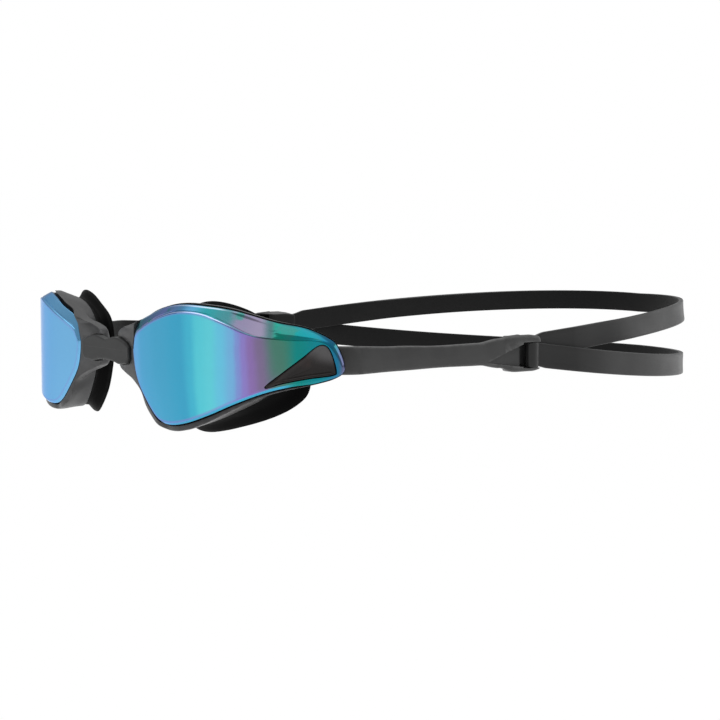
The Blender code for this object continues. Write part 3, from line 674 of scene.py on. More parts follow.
def lens_material(name):
    """Mirror film whose colour follows the angle it is seen at, the shape of the
    bevel and the place along the wrap, with a thin darker rim; painted highlights on
    the ridge and upper rim, painted shade in the upper groove and a painted
    reflection paling the right lens at a slant."""
    m = new_material(name)
    angle = facing_angle(m)
    arc, bevel, high, cool = (
        m.attribute(key) for key in ("arc", "bevel", "high", "cool"))
    # upper nose end of the wearer's right lens, turned from the bright side
    brow = m.times(cool, m.smoothstep(bevel, -0.4, 0.1),
                   m.smoothstep(arc, 34.0, 22.0))
    on_bevel = m.times(m.smoothstep(bevel, 0.05, 0.5), high,
                       m.smoothstep(angle, 0.97, 0.84), m.inverse(brow))
    colour = film_colour(m, angle, arc, cool, brow)
    colour = bevel_colour(m, colour, on_bevel, arc, bevel)
    colour = edge_lines(m, colour, arc, bevel, high, cool, brow)
    haze = m.noise(500.0, detail=4.0)
    # hairline scratches: noise squeezed across its tilted z
    squeezed = m.add("Mapping", Scale=(1.0, 1.0, 14.0),
                     Rotation=(0.0, 0.5, 0.0),
                     Vector=m.add("TexCoord").outputs["Object"])
    scratch = m.noise(160.0, detail=6.0, rough=0.5, vector=squeezed.outputs[0])
    m.bump(scratch, strength=0.03, distance=0.02 * MM)
    m.principled(Base_Color=colour,
                 Roughness=m.scale_add(haze, by=0.10, plus=0.10),
                 Metallic=0.92, Coat_Weight=0.22, Coat_Roughness=0.03,
                 Specular_IOR_Level=0.4,
                 Specular_Tint=(0.42, 0.62, 0.86, 1.0))
    return m.owner


def gloss_material(name):
    """Dark moulded inlay under a clear skin, browner where it thins out, with a painted
    highlight towards its upper rear end.
    """
    m = new_material(name)
    colour = m.ramp(m.noise(160.0, detail=3.0), [
        (0.30, srgb(8, 6, 6)), (0.52, srgb(17, 12, 11)),
        (0.75, srgb(32, 23, 21))])
    # painted highlight read from the sheen attribute
    colour = m.mix(m.attribute("sheen"), colour, srgb(74, 73, 74))
    m.bump(m.noise(900.0, detail=3.0), strength=0.06, distance=0.03 * MM)
    m.principled(Base_Color=colour,
                 Roughness=m.scale_add(m.noise(600.0), by=0.16, plus=0.12),
                 Coat_Weight=0.14, Coat_Roughness=0.08,
                 Specular_IOR_Level=0.20)
    return m.owner


LENS = lens_material("mirror_film")
# edge: how much paler the painted highlight makes each edge
SHELL = soft_material("frame_satin", srgb(34, 34, 35), rough=0.36,
                      grain=0.012, sheen=0.06, spec=0.38, edge=3.6)
SOFT = soft_material("gasket_silicone", srgb(4, 4, 4), rough=0.52,
                     grain=0.010, sheen=0.0, spec=0.05)
BRIDGE = soft_material("bridge_silicone", srgb(16, 17, 17), rough=0.42,
                       grain=0.014, sheen=0.05, spec=0.34)
INSERT = gloss_material("inlay_gloss")
STRAP = soft_material("strap_silicone", srgb(11, 11, 11), rough=0.40,
                      grain=0.012, sheen=0.10, spec=0.30, edge=3.2)
# rougher, less glossy copy for the face towards the head, its darker colour painted shade
STRAP_INNER_MATTE_SHADE = soft_material("strap_silicone_inner_matte_shade", srgb(9, 9, 9), rough=0.55,
                         grain=0.016, sheen=0.05, spec=0.16, edge=2.0)
ARM = soft_material("arm_satin", srgb(44, 44, 44), rough=0.40, grain=0.012,
                    sheen=0.10, spec=0.34, edge=2.4)
# darker copy of the arm's material for faces turned towards the head: painted shade
ARM_INNER_SHADE = soft_material("arm_satin_inner_shade", srgb(11, 11, 11), rough=0.50,
                       grain=0.014, sheen=0.04, spec=0.18)
PIN = soft_material("stud_satin", srgb(22, 22, 22), rough=0.36, grain=0.008,
                    sheen=0.05, spec=0.32)


# ------------------------------------------------------------------ lens
# small rings round the middle keep the fan there from showing
MIDDLE_RINGS = (0.004, 0.012, 0.026, 0.045)
FACE_RINGS = 26
# rolled bead at the ridge, then a hair line: mm outside the ridge, height
BEAD = ((0.0, 0.0), (0.14, 0.03), (0.30, -0.02), (0.46, -0.22),
        (0.60, -0.24), (0.74, -0.08))
# rings across the bevel, as shares of its width
BEVEL = (0.28, 0.34, 0.42, 0.5, 0.58, 0.66, 0.74, 0.8, 0.86, 0.91, 0.95, 0.98)
# roll of the outer edge: inset from the rim, depth behind it
EDGE_ROLL = ((0.0, 0.06), (0.02, 0.22), (0.25, 1.1))


def lens_rings(face, rim):
    """Rings from the middle of the front, over the rim, to the back."""
    rings = []
    rim_w = [-p[2] for p in rim]
    width = [math.hypot(r[0] - f[0], r[1] - f[1]) for r, f in zip(rim, face)]
    # the bead fades out where the bevel is narrow
    room = [min(1.0, max(0.0, (d - 1.0) / 2.0)) for d in width]

    def add(curve, depths):
        rings.append([shell(p[0], p[1], w) for p, w in zip(curve, depths)])

    def add_scaled(curve, share, w):
        mid_s, mid_z = LENS_MID
        add([(mid_s + (p[0] - mid_s) * share, mid_z + (p[1] - mid_z) * share)
             for p in curve], [w] * len(curve))

    def add_bevel(shares, bead=0.0):
        curve = [lerp(f, r, b) for f, r, b in zip(face, rim, shares)]
        depths = []
        for i, ((s, z), share) in enumerate(zip(curve, shares)):
            soft = ramp(s, 46.0, 56.0) if z > 0 else 0.0
            w = rim_w[i] * share ** (1.15 + 0.75 * soft)
            # scooped channel in the upper bevel, ending in a step
            if z > 0:
                along = ramp(s, 36.0, 47.0) * (1.0 - ramp(s, 56.2, 57.5))
                across = (ramp(share, 0.16, 0.36)
                          * (1.0 - ramp(share, 0.68, 0.98)))
                w -= 0.90 * along * across
                lift = ramp(s, 56.6, 58.0) * (1.0 - ramp(s, 66.0, 75.0))
                w += (0.28 * lift * ramp(share, 0.25, 0.5)
                      * (1 - ramp(share, 0.85, 1.0)))
            depths.append(w + bead * room[i] * (1.0 - soft))
        add(curve, depths)

    for share in MIDDLE_RINGS:
        add_scaled(face, share, 0.0)
    for k in range(1, FACE_RINGS + 1):
        add_scaled(face, (k / FACE_RINGS) ** 0.8 * 0.985, 0.0)
    for outside, height in BEAD:
        add_bevel([min(outside / max(d, 1e-6), 0.4) for d in width], height)
    for share in BEVEL:
        add_bevel([share] * len(face))
    for inset, depth in EDGE_ROLL:
        add(offset(rim, -inset), [w - depth for w in rim_w])
    inner = offset(face, -0.9)
    add(inner, [-LENS_T] * len(inner))
    for share in (0.85, 0.6, 0.3):
        add_scaled(inner, share, -LENS_T)
    return rings


def outline_distance(outline, point):
    span = np.roll(outline, -1, 0) - outline
    share = np.clip(((point - outline) * span).sum(1)
                    / np.maximum((span * span).sum(1), 1e-9), 0, 1)
    return np.hypot(*(outline + span * share[:, None] - point).T).min()


def inside_outline(outline, point):
    after = np.roll(outline, -1, 0)
    crosses = (outline[:, 1] > point[1]) != (after[:, 1] > point[1])
    with np.errstate(divide="ignore", invalid="ignore"):
        at = outline[:, 0] + (point[1] - outline[:, 1]) / (
            after[:, 1] - outline[:, 1]) * (after[:, 0] - outline[:, 0])
    return np.count_nonzero(crosses & (point[0] < at)) % 2 == 1


def mark_lens(mesh, side, face, rim):
    """Attributes that the film reads: place along the wrap, distance outside
    the ridge, upper part, the outer rim (0), distance from the rim's outline
    and whether it is the right lens."""
    coords = np.array([v.co for v in mesh.vertices], float) / MM
    coords[:, 0] *= side
    heights = coords[:, 2] + BRIDGE_Z
    stations = np.arange(-3.0, 82.0, 0.2)
    line = np.array([plan(s) for s in stations])
    face = np.array(face)
    rim = np.array(rim)
    arc, bevel, edge = (np.zeros(len(coords)) for _ in range(3))
    rim_mark = np.ones(len(coords))
    for i, (x, y, _) in enumerate(coords):
        z = heights[i]
        y = y - set_back(min(max(x - 16.0, 0.0), 60.0), z)
        k = int(((line[:, 0] - x) ** 2 + (line[:, 1] - y) ** 2).argmin())
        arc[i] = stations[k]
        w = (x - line[k, 0]) * line[k, 2] + (y - line[k, 1]) * line[k, 3]
        point = np.array((arc[i], z))
        away = outline_distance(face, point)
        bevel[i] = -away if inside_outline(face, point) else away
        edge[i] = outline_distance(rim[:, :2], point)
        to_rim = np.hypot(rim[:, 0] - arc[i], rim[:, 1] - z)
        k = int(to_rim.argmin())
        if to_rim[k] < 0.9 and w < -rim[k, 2] - 0.12:
            rim_mark[i] = 0.0
    high = [ramp(z, 1.5, 4.0) for z in heights]
    cool = np.full(len(coords), 1.0 if side < 0 else 0.0)
    for name, values in (("arc", arc), ("bevel", bevel), ("high", high),
                         ("rim", rim_mark), ("edge", edge), ("cool", cool)):
        float_attribute(mesh, name, values)


def lens_piece(tag, side):
    rim = spline(RIM, PER * FINE)
    face = spline(FACE, PER * FINE)
    ob = domed("lens_%s_skin" % tag, lens_rings(face, rim),
               shell(*LENS_MID, 0), shell(*LENS_MID, -LENS_T), LENS, side, 30)
    # opening for the temple inlay
    opening = offset(spline(INLAY, 8), GAP - 0.12)
    tool = loft("window_tool", [[shell(s, z, w) for s, z in opening]
                                for w in (3.0, -LENS_T - 0.28)], None, side)
    cut(ob, [tool], sharp=30)
    mark_lens(ob.data, side, face, rim)
    attach(ob, tag + "_eyecup", "lens_" + tag)


# inlay sides and bevelled edge, then its sunk field: inset, w
INLAY_EDGE = ((0.0, -2.25), (0.0, -0.55), (0.03, -0.26), (0.12, -0.13),
              (0.30, -0.06), (0.55, -0.10))
INLAY_FIELD = ((0.72, -0.24), (0.9, -0.34))


def inlay_piece(tag, side):
    """Bevelled edge, shallow dished field and a small step by the front tip."""
    edge = spline(INLAY, 8)

    def foot(s):
        return 0.20 * (1.0 - ramp(s, 59.0, 59.5))

    loops = [[shell(s, z, w) for s, z in offset(edge, -inset)]
             for inset, w in INLAY_EDGE]
    loops += [[shell(s, z, w + foot(s)) for s, z in offset(edge, -inset)]
              for inset, w in INLAY_FIELD]
    mid_s = sum(p[0] for p in edge) / len(edge) + 1.5
    mid_z = sum(p[1] for p in edge) / len(edge)
    field_inset, field_w = INLAY_FIELD[-1]
    field = offset(edge, -field_inset)
    for k in (0.8, 0.6, 0.4, 0.2, 0.05):
        loops.append([shell(mid_s + (s - mid_s) * k, mid_z + (z - mid_z) * k,
                            field_w - 0.04 * (1 - k)
                            + foot(mid_s + (s - mid_s) * k))
                      for s, z in field])
    ob = loft("temple_inlay_%s_skin" % tag, loops, INSERT, side, sharp=50)
    # painted highlight: paler towards the upper rear end
    sheen = []
    for v in ob.data.vertices:
        x, z = v.co.x * side / MM, v.co.z / MM + BRIDGE_Z
        sheen.append(ramp(x + 0.55 * z, 73.5, 77.0) * ramp(z, 0.5, 4.5) * 0.9)
    float_attribute(ob.data, "sheen", sheen)
    attach(ob, tag + "_eyecup", "temple_inlay_" + tag)


# ----------------------------------------------------------------- frame
def frame_outline():
    """Outer edge of the frame, s and z, drawn out to the nose corners."""
    out = offset(RIM_LINE, [v[0] for v in spline([(v,) for v in LIP], PER)])
    for k, corner in HORN.items():
        out[k * PER] = corner
    for k in HORN:
        near = [out[((k + d) % len(RIM)) * PER] for d in (-1, 0, 1, 2)]
        for j in range(1, PER):
            out[(k * PER + j) % COUNT] = between(*near, j / PER)
    return out


def frame_loops():
    """Cross-sections of the frame, one at each outline point."""
    outer = frame_outline()
    seat = offset(RIM_LINE, GAP + 0.02)
    seat_w = [-p[2] - 1.55 - GAP for p in RIM_LINE]
    # the lip stands higher on the side away from the nose
    lip_w = [w + 0.6 + 0.75 * (0.5 * (1 - math.cos(2 * math.pi
                                                   * (i / COUNT - 0.16))))
             for i, w in enumerate(seat_w)]
    for i in range(-3 * PER, 2 * PER + 1):
        lip_w[i] = -0.35
    floor = offset(FACE_LINE, -0.9)
    wall = lower(CUP_LINE)
    inside = lower(inset3(CUP_LINE, 1.9))
    # lens floor (3), seat, its lip, outer lip, outer back edge, back (2),
    # foot of the wall, wall, inside
    radii = [0.35, 0, 0, 0.2, 0.22, 0.42, 0.6, 0, 0, 0.8, 0.45, 0.45]
    loops = []
    for i, (s, z) in enumerate(offset(FACE_LINE, -2.6)):
        past = max(0.0, s - WING_OPEN)
        wing = past > 0
        at_nose = i <= 2 * PER or i >= COUNT - PER
        if wing:
            s = WING_OPEN - 0.06 * past
        opening = (s, z * (1 - 0.35 * min(1.0, past / 14.0)))
        behind = lip_w[i] - 2.0
        if wing:
            behind = min(WING_W, lip_w[i] - 1.0)
        if at_nose:
            behind = -3.6
        outer_back = shell(*outer[i], behind)
        if wing:
            s, z = opening
            wing_edge = (s + 2.2, z + (1.4 if z > 0 else -1.4))
            foot = shell(*wing_edge, WING_W)
            back = [shell(*lerp(outer[i], wing_edge, k / 3),
                          behind + (WING_W - behind) * k / 3) for k in (1, 2)]
        else:
            if at_nose:
                foot = (18.4, 5.0 - RAKE * wall[i][2], wall[i][2])
            else:
                foot = tuple(0.55 * p + 0.45 * q
                             for p, q in zip(outer_back, wall[i]))
            back = [lerp(outer_back, foot, k / 3) for k in (1, 2)]
        loop = [shell(*lerp(opening, floor[i], k / 2), FLOOR_W)
                for k in range(3)]
        loop += [shell(*seat[i], seat_w[i]), shell(*seat[i], lip_w[i]),
                 shell(*outer[i], lip_w[i]), outer_back, *back,
                 foot, wall[i], inside[i]]
        loops.append(fillet(loop, radii, 3))
    return refine(loops, FINE)


def pocket_outline():
    """End plate of the bridge grown all round by its clearance: x, z."""
    grown = PLATE_GAP - 0.45
    plate = [(x, z - BRIDGE_Z) for x, z in
             [(-1.0, 6.7)] + [p[:2] for p in PLATE] + [(-1.0, -0.5)]]
    out = []
    for i, (x, z) in enumerate(plate):
        x_before, z_before = plate[i - 1]
        x_after, z_after = plate[(i + 1) % len(plate)]
        to_here = Vector((x - x_before, z - z_before)).normalized()
        onward = Vector((x_after - x, z_after - z)).normalized()
        normal = Vector((-to_here.y, to_here.x))
        mitre = (normal + Vector((-onward.y, onward.x))).normalized()
        mitre *= grown / max(0.5, mitre.dot(normal))
        out.append((x + mitre.x, z + mitre.y))
    return out


def frame_piece(tag, side):
    ob = loft("frame_%s_skin" % tag, frame_loops(), SHELL, side, closed=True)
    rounded = fillet([(x, 0.0, z) for x, z in pocket_outline()], 0.6, 4)
    pocket = loft("pocket_tool", [[(x, y, z) for x, _, z in rounded]
                                  for y in (-4.0, BRIDGE_T + PLATE_GAP - 0.2)],
                  None, side)
    peg = loft("peg_tool", [circle_y(PEG_X, y, PEG_Z - BRIDGE_Z, PEG_HOLE_R, 32)
                            for y in (1.5, 12.0)], None, side)
    stud = loft("stud_tool", [circle_x(x, STUD_Y, STUD_Z - BRIDGE_Z,
                                       STUD_R + 0.15) for x in (60.0, 71.6)],
                None, side)
    cut(ob, [pocket, peg, stud])
    attach(ob, tag + "_eyecup", "frame_" + tag)


# ---------------------------------------------------------------- gasket
def flank(start, end, count, shift):
    """Points from start to short of end, moved inwards by shift(t) mm."""
    out = []
    for k in range(count):
        t = k / count
        p = lerp(start, end, t)
        centre = (GASKET_MID_X, p[1], -BRIDGE_Z)
        r = math.dist(p, centre) or 1.0
        out.append(lerp(p, centre, shift(t) / r))
    return out


def gasket_piece(tag, side):
    def plain(t):
        return 0.0

    def folds(t):
        return 0.10 * math.sin(math.pi * 2 * t)

    rib_steps = 14               # two for each rib

    def ribs(t):
        return -0.16 * (0.5 - 0.5 * math.cos(2 * math.pi * t * rib_steps / 2))

    waist = [tuple(0.5 * (p + q) for p, q in zip(*pair))
             for pair in zip(inset3(CUP_LINE, 1.4), inset3(SEAL_LINE, 1.6))]
    lines = [inset3(CUP_LINE, 0.5, GAP), waist, SEAL_LINE,
             inset3(SEAL_LINE, 1.3, 0.9), inset3(SEAL_LINE, 4.2, 0.1),
             inset3(waist, 1.6), inset3(CUP_LINE, 2.3, GAP)]
    loops = []
    for p in zip(*(lower(line) for line in lines)):
        # outer flank with two soft folds, rolled lip, ribbed inner flank
        lip = fillet(p[1:5], [0, 0.55, 0.7, 0], 5, False)
        loops.append(flank(p[0], p[1], 4, plain) + flank(p[1], p[2], 6, folds)
                     + lip[1:-1] + flank(p[4], p[5], rib_steps, ribs)
                     + flank(p[5], p[6], 4, plain) + [p[6]])
    ob = loft("gasket_%s_skin" % tag, refine(loops, FINE), SOFT, side,
              closed=True, sharp=60)
    attach(ob, tag + "_eyecup", "gasket_" + tag)


# ------------------------------------------------------------ nose bridge
# rear edge, side and rounded front edge: inset, y
BRIDGE_EDGE = ((0.0, BRIDGE_T), (0.0, 0.50), (0.03, 0.28), (0.12, 0.12),
               (0.28, 0.03), (0.50, 0.0), (0.8, 0.0), (1.1, 0.0))
# peg with its head: y, radius
PEG_PROFILE = ((BRIDGE_T - 0.4, PEG_R), (5.5, PEG_R), (5.7, PEG_HEAD_R - 0.2),
               (5.85, PEG_HEAD_R), (6.2, PEG_HEAD_R), (6.6, PEG_R + 0.5),
               (6.8, PEG_R - 0.2))


def resample(outline, count):
    """Closed outline in equal steps, so that insets stay clean."""
    run = run_lengths(outline + outline[:1])
    last = len(outline)
    out = []
    for k in range(count):
        at = run[-1] * k / count
        i = int(np.clip(np.searchsorted(run, at, side="right") - 1,
                        0, last - 1))
        share = (at - run[i]) / max(1e-9, run[i + 1] - run[i])
        out.append(lerp(outline[i], outline[(i + 1) % last], share))
    return out


def nose_bridge():
    # the span dips to a soft V on its upper edge, the plates have cut corners
    half = ([(0.0, 5.9, 0.8), (1.6, 6.3, 0.9)] + PLATE
            + [(4.6, -0.5, 0.9), (0.0, -0.3, 1.2)])
    corners = half + [(-x, z, r) for x, z, r in half[-2:0:-1]]
    rounded = fillet([(x, 0.0, z - BRIDGE_Z) for x, z, _ in corners],
                     [r for _, _, r in corners], 5)
    even = resample([(x, z) for x, _, z in rounded], 220)
    loops = [[(x, y, z) for x, z in offset(even, -inset)]
             for inset, y in BRIDGE_EDGE]
    # the front closes in height on a line along x
    front = offset(even, -BRIDGE_EDGE[-1][0])
    for k in (0.8, 0.6, 0.4, 0.2, 0.04):
        loops.append([(x, 0.0, z * k + (1 - k) * (-0.1)) for x, z in front])
    parts = [loft("nose_bridge_skin", loops, BRIDGE, 1, sharp=50)]
    for side in (1, -1):
        parts.append(loft("peg_%d" % side,
                          [circle_y(PEG_X, y, PEG_Z - BRIDGE_Z, r, 28)
                           for y, r in PEG_PROFILE], BRIDGE, side))
    ob = join("nose_bridge_body", parts)
    attach(ob, "nose_bridge", "nose_bridge")


# ------------------------------------------------------------------ arms
# bar across the adjuster, ends softened: z, scale of the section
BAR_SECTIONS = ((-3.70, 0.84), (-3.62, 0.93), (-3.45, 0.985), (-3.15, 1.0),
                (-1.0, 1.0), (1.3, 1.0), (3.65, 1.0), (3.95, 0.985),
                (4.16, 0.93), (4.25, 0.84))
# shaft and rounded head with a dimple: x, radius
STUD_PROFILE = ((70.9, STUD_R), (64.5, STUD_R), (64.3, STUD_HEAD_R - 0.25),
                (64.22, STUD_HEAD_R - 0.06), (64.05, STUD_HEAD_R),
                (63.85, STUD_HEAD_R - 0.05), (63.6, STUD_HEAD_R - 0.35),
                (63.45, STUD_HEAD_R - 0.8), (63.42, 1.5), (63.55, 1.1),
                (63.8, 0.8))


def arm_height(y):
    """Lower and upper edge of the arm at y."""
    for (y0, low0, high0), (y1, low1, high1) in zip(ARM_EDGES, ARM_EDGES[1:]):
        if y <= y1:
            return lerp((low0, high0), (low1, high1),
                        smooth((y - y0) / (y1 - y0)))
    return ARM_EDGES[-1][1:]


def arm_loops():
    """Sections of the arm, rounded at the front, outer face lightly crowned."""
    crown = 0.18
    loops = []
    for y in [ARM_Y0, 29.55, 29.9, 30.4, 31.1, 32.0, 33.0] + [
            34.0 + k for k in range(0, 75)]:
        low, high = arm_height(y)
        shrink = 3.6 * round_off(max(0.0, 1.0 - (y - ARM_Y0) / 3.2))
        low, high = low + shrink, high - shrink
        x = ARM_X0 + (ARM_X - ARM_X0) * smooth((y - 36.2) / 11.0)
        half = ARM_T / 2 - 0.2 * (1 - ramp(y, 37.0, 40.0))
        section = [(x - half, y, low), (x + half - crown, y, low),
                   (x + half, y, high * 0.4 + low * 0.6),
                   (x + half, y, high * 0.6 + low * 0.4),
                   (x + half - crown, y, high), (x - half, y, high)]
        loops.append(fillet(lower(section),
                            [0.35, 0.75, 1.6, 1.6, 0.75, 0.35], 4))
    return loops


def sleeve_loops():
    """Adjuster loop: grows out of the band, hood rounded off behind."""
    inner_x = ARM_X - ARM_T / 2 + 0.1
    outer_x = ARM_X + ARM_T / 2 - 0.1
    loops = []
    for y in [SLEEVE_Y0 + 0.5 * k for k in range(30)] + [
            SLEEVE_Y1 - d for d in (0.7, 0.45, 0.22, 0.08, 0.0)]:
        low, high = arm_height(y)
        grow = ramp(y, SLEEVE_Y0, 107.0)
        grow_in = ramp(y, 102.5, 107.0)
        r = 0.45 * round_off(max(0.0, 1.0 - (SLEEVE_Y1 - y) / 0.7))
        x0 = inner_x + (SLEEVE_X0 - inner_x) * grow_in + r
        x1 = outer_x + (SLEEVE_X1 - outer_x) * grow - r
        z0 = ((low + 0.15) * (1 - grow) + SLEEVE_Z0 * grow + r
              + 0.4 * ramp(y, 113, 116))
        z1 = ((high - 0.15) * (1 - grow) + SLEEVE_Z1 * grow - r
              - 0.45 * ramp(y, 111.8, 116.0))
        section = [(x0, y, z0), (x1, y, z0), (x1, y, z1),
                   (x0, y, z1 - 0.75 * grow_in)]
        loops.append(fillet(lower(section), [0.7, 1.1, 1.9, 0.8], 7))
    return loops


def arm_tools(side):
    """Cutters for the strap slot, window, recess and stud hole."""
    end = SLEEVE_Y1 + OVERRUN
    beyond = SLEEVE_X1 + OVERRUN
    slot = fillet(lower([(SLOT_X0, 0, SLOT_Z0), (SLOT_X1, 0, SLOT_Z0),
                         (SLOT_X1, 0, SLOT_Z1), (SLOT_X0, 0, SLOT_Z1)]),
                  0.3, 3)
    slot_loops = [[(x, y, z) for x, _, z in slot] for y in (SLOT_Y0, end)]
    # window over the bar, with rounded corners
    window = fillet(lower([(0, WINDOW_Y0, SLOT_Z0), (0, end, SLOT_Z0),
                           (0, end, WINDOW_Z1), (0, WINDOW_Y0, WINDOW_Z1)]),
                    [0.5, 0.1, 0.1, 0.5], 4)
    window_loops = [[(x, y, z) for _, y, z in window]
                    for x in (SLOT_X1 - 1.0, beyond)]
    # triangular recess that runs up to the window under the hood
    recess = [(ARM_X + ARM_T / 2 - 0.15, 94.6, -1.3), (70.7, 109.4, -3.3),
              (70.5, 109.4, 4.1), (70.8, 107.4, 3.5)]
    recess_out = [(beyond, y, z) for _, y, z in recess]
    recess_loops = [fillet(lower(line), [0.5, 0.3, 0.5, 0.9], 4)
                    for line in (recess, recess_out)]
    hole_loops = [circle_x(x, STUD_Y, STUD_Z - BRIDGE_Z, STUD_HOLE_R)
                  for x in (60.0, 76.0)]
    return [loft(name, loops, None, side) for name, loops in (
        ("slot_tool", slot_loops), ("window_tool", window_loops),
        ("recess_tool", recess_loops), ("hole_tool", hole_loops))]


def arm_piece(tag, side):
    arm = loft("side_arm_%s_skin" % tag, arm_loops(), ARM, side)
    cut(arm, [loft("sleeve", sleeve_loops(), ARM, side)], "UNION")
    cut(arm, arm_tools(side))
    # faces turned towards the head take a darker copy of the arm's material: painted shade
    arm.data.materials.append(ARM_INNER_SHADE)
    for face in arm.data.polygons:
        if face.normal.x * side < -0.5:
            face.material_index = 1
    attach(arm, tag + "_arm", "side_arm_" + tag)


def adjuster_bar(tag, side):
    """Cross bar of the adjuster: rolled outer side, softened ends."""
    section = [(BAR_X, BAR_Y1 - 0.1), (BAR_X, BAR_Y0 + 0.1)]
    steps = 16
    for i in range(steps + 1):
        angle = math.pi * i / steps
        section.append((BAR_ROLL_X + 1.35 * math.sin(angle),
                        (BAR_Y0 + BAR_Y1) / 2
                        - (BAR_Y1 - BAR_Y0) / 2 * math.cos(angle)))
    mid_x = sum(p[0] for p in section) / len(section)
    mid_y = sum(p[1] for p in section) / len(section)
    loops = [[(mid_x + (x - mid_x) * k, mid_y + (y - mid_y) * k, z - BRIDGE_Z)
              for x, y in section] for z, k in BAR_SECTIONS]
    bar = loft("adjuster_bar_%s_skin" % tag, loops, PIN, side, sharp=50)
    attach(bar, tag + "_arm", "adjuster_bar_" + tag)


def strap_stud(tag, side):
    stud = loft("strap_stud_%s_skin" % tag,
                [circle_x(x, STUD_Y, STUD_Z - BRIDGE_Z, r)
                 for x, r in STUD_PROFILE], PIN, side)
    attach(stud, tag + "_eyecup", "strap_stud_" + tag)


# ----------------------------------------------------------------- strap
# y of the stations from the tail's tip to where the branches leave it
STRAP_LEAD = [TAIL_Y0, 80.15, 80.4, 80.8, 81.4, 82.2, 83.5] + [
    85.0 + 2.5 * k for k in range(8)] + [105.0 + 0.75 * k for k in range(39)]
STRAP_STEPS = 84                 # steps from there to the back of the head
# half section with dished outer face: corner radii
STRAP_RADII = [0.42, 0.42, 0.42, 0.6, 0.8, 0.8, 0.6, 0.42]


def head_path(t):
    """Cubic curve round the left half of the head: x, y."""
    points = ((RUN_X, RUN_Y), (66.8, RUN_Y + 46.0), (42.0, BACK_Y),
              (0.0, BACK_Y))
    weights = ((1 - t) ** 3, 3 * (1 - t) ** 2 * t, 3 * (1 - t) * t * t, t ** 3)
    return tuple(sum(k * p[i] for k, p in zip(weights, points))
                 for i in (0, 1))


def strap_stations():
    """x, y, outward normal, run past the split in mm and as a share."""
    tail_x = (TAIL_X0 + TAIL_X1) / 2
    points = [(tail_x + (RUN_X - tail_x) * max(0.0, y - SPLIT_Y)
               / (RUN_Y - SPLIT_Y), y) for y in STRAP_LEAD]
    for k in range(STRAP_STEPS + 1):
        t = k / STRAP_STEPS
        points.append(head_path(t * (0.75 + 0.25 * t)))
    run = run_lengths(points)
    zero = SPLIT_Y - TAIL_Y0
    total = run[-1] - zero
    last = len(points) - 1
    out = []
    for i, (x, y) in enumerate(points):
        before, after = points[max(0, i - 1)], points[min(last, i + 1)]
        dx, dy = after[0] - before[0], after[1] - before[1]
        if i == last:
            dx, dy = -1.0, 0.0
        length = math.hypot(dx, dy)
        out.append((x, y, dy / length, -dx / length, run[i] - zero,
                    max(0.0, (run[i] - zero) / total)))
    return out


def band(name, up, z_front, z_back, rise, sag, width, lean_deg, nodes):
    """One branch with its layer of both strap ends, in a single sweep: the
    upper branch (up = 1) runs inboard of the lower one (up = -1) through the
    adjusters. rise and sag shape the climb from z_front to z_back."""
    loops = []
    for x, y, normal_x, normal_y, run, share in strap_stations():
        z = z_front + (z_back - z_front) * (
            (1 - rise - sag) * share + rise * math.sin(math.pi / 2 * share)
            + sag * (1 - math.cos(math.pi * share)) / 2)
        wide = width - 0.6 * share
        # through the adjuster both layers share the slot's height
        inner = 1.0 - ramp(y, 115.4, 121.5)
        narrow = ramp(112.5 - y, 0.0, 6.5)
        tip = max(0.0, 1.0 - (y - TAIL_Y0) / 2.0)
        tail_half = 4.65 - 1.75 * narrow - 1.5 * tip * tip
        tail_z = TAIL_MID_Z + 0.45 * narrow
        z0 = (z - wide / 2) * (1 - inner) + (tail_z - tail_half) * inner
        z1 = (z + wide / 2) * (1 - inner) + (tail_z + tail_half) * inner
        if up < 0:
            # the outer layer stays below the hood
            z1 -= 2.05 * inner * ramp(y, 105.0, 111.0)
        lean = math.radians(lean_deg) * ramp(share, 0.12, 0.32) * (
            1 - ramp(share, 0.45, 0.85))
        thick = BRANCH_T0 + (BRANCH_T - BRANCH_T0) * ramp(run, 3.0, 20.0)
        layer = (thick / 2 + 0.07) * (1 - ramp(run, 24.0, 44.0)) * -up
        cosine, sine = math.cos(lean), math.sin(lean)
        half_w, half_t = (z1 - z0) / 2, thick / 2
        mid_z = (z0 + z1) / 2
        dish = min(0.07, 0.05 * thick)
        section = []
        for across, out in (
                (-half_w, -half_t), (half_w, -half_t), (half_w, half_t),
                (half_w * 0.66, half_t), (half_w * 0.4, half_t - dish),
                (-half_w * 0.4, half_t - dish), (-half_w * 0.66, half_t),
                (-half_w, half_t)):
            away = out * cosine - across * sine + layer
            section.append((x + normal_x * away, y + normal_y * away,
                            mid_z + across * cosine + out * sine - BRIDGE_Z))
        loops.append(fillet(section, STRAP_RADII, 4))
    right = [[(-x, y, z) for x, y, z in loop] for loop in reversed(loops[:-1])]
    ob = loft(name, loops + right, STRAP, 1, sharp=50)
    # the face towards the head is duller than the outer one, rougher and less glossy, and
    # a little darker: painted shade
    ob.data.materials.append(STRAP_INNER_MATTE_SHADE)
    for face in ob.data.polygons:
        centre = face.center
        flat = Vector((face.normal.x, face.normal.y, 0.0))
        away = Vector((centre.x, centre.y - 0.12 if centre.y > 0.12 else 0.0,
                       0.0))
        if flat.length > 0.6 and flat.dot(away) < 0:
            face.material_index = 1
    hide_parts(*nodes)
    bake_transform(ob)


# ----------------------------------------------------- stage, in metres
def floor_material():
    """Pale floor, partly glowing: more for the camera than for bounces."""
    m = new_material("pale_floor")
    m.principled(Base_Color=(0.9, 0.9, 0.9, 1), Roughness=0.95,
                 Specular_IOR_Level=0.05)
    seen = m.add("LightPath").outputs["Is Camera Ray"]
    share = m.scale_add(seen, by=0.685, plus=0.30)
    glow = m.add("Emission", Color=(1, 1, 1, 1),
                 Strength=m.scale_add(seen, by=-0.5, plus=1.5))
    nodes = m.tree.nodes
    blend = m.mix_shader(share, nodes["Principled BSDF"].outputs[0],
                         glow.outputs[0])
    m.feed(nodes["Material Output"].inputs["Surface"], blend)
    return m.owner


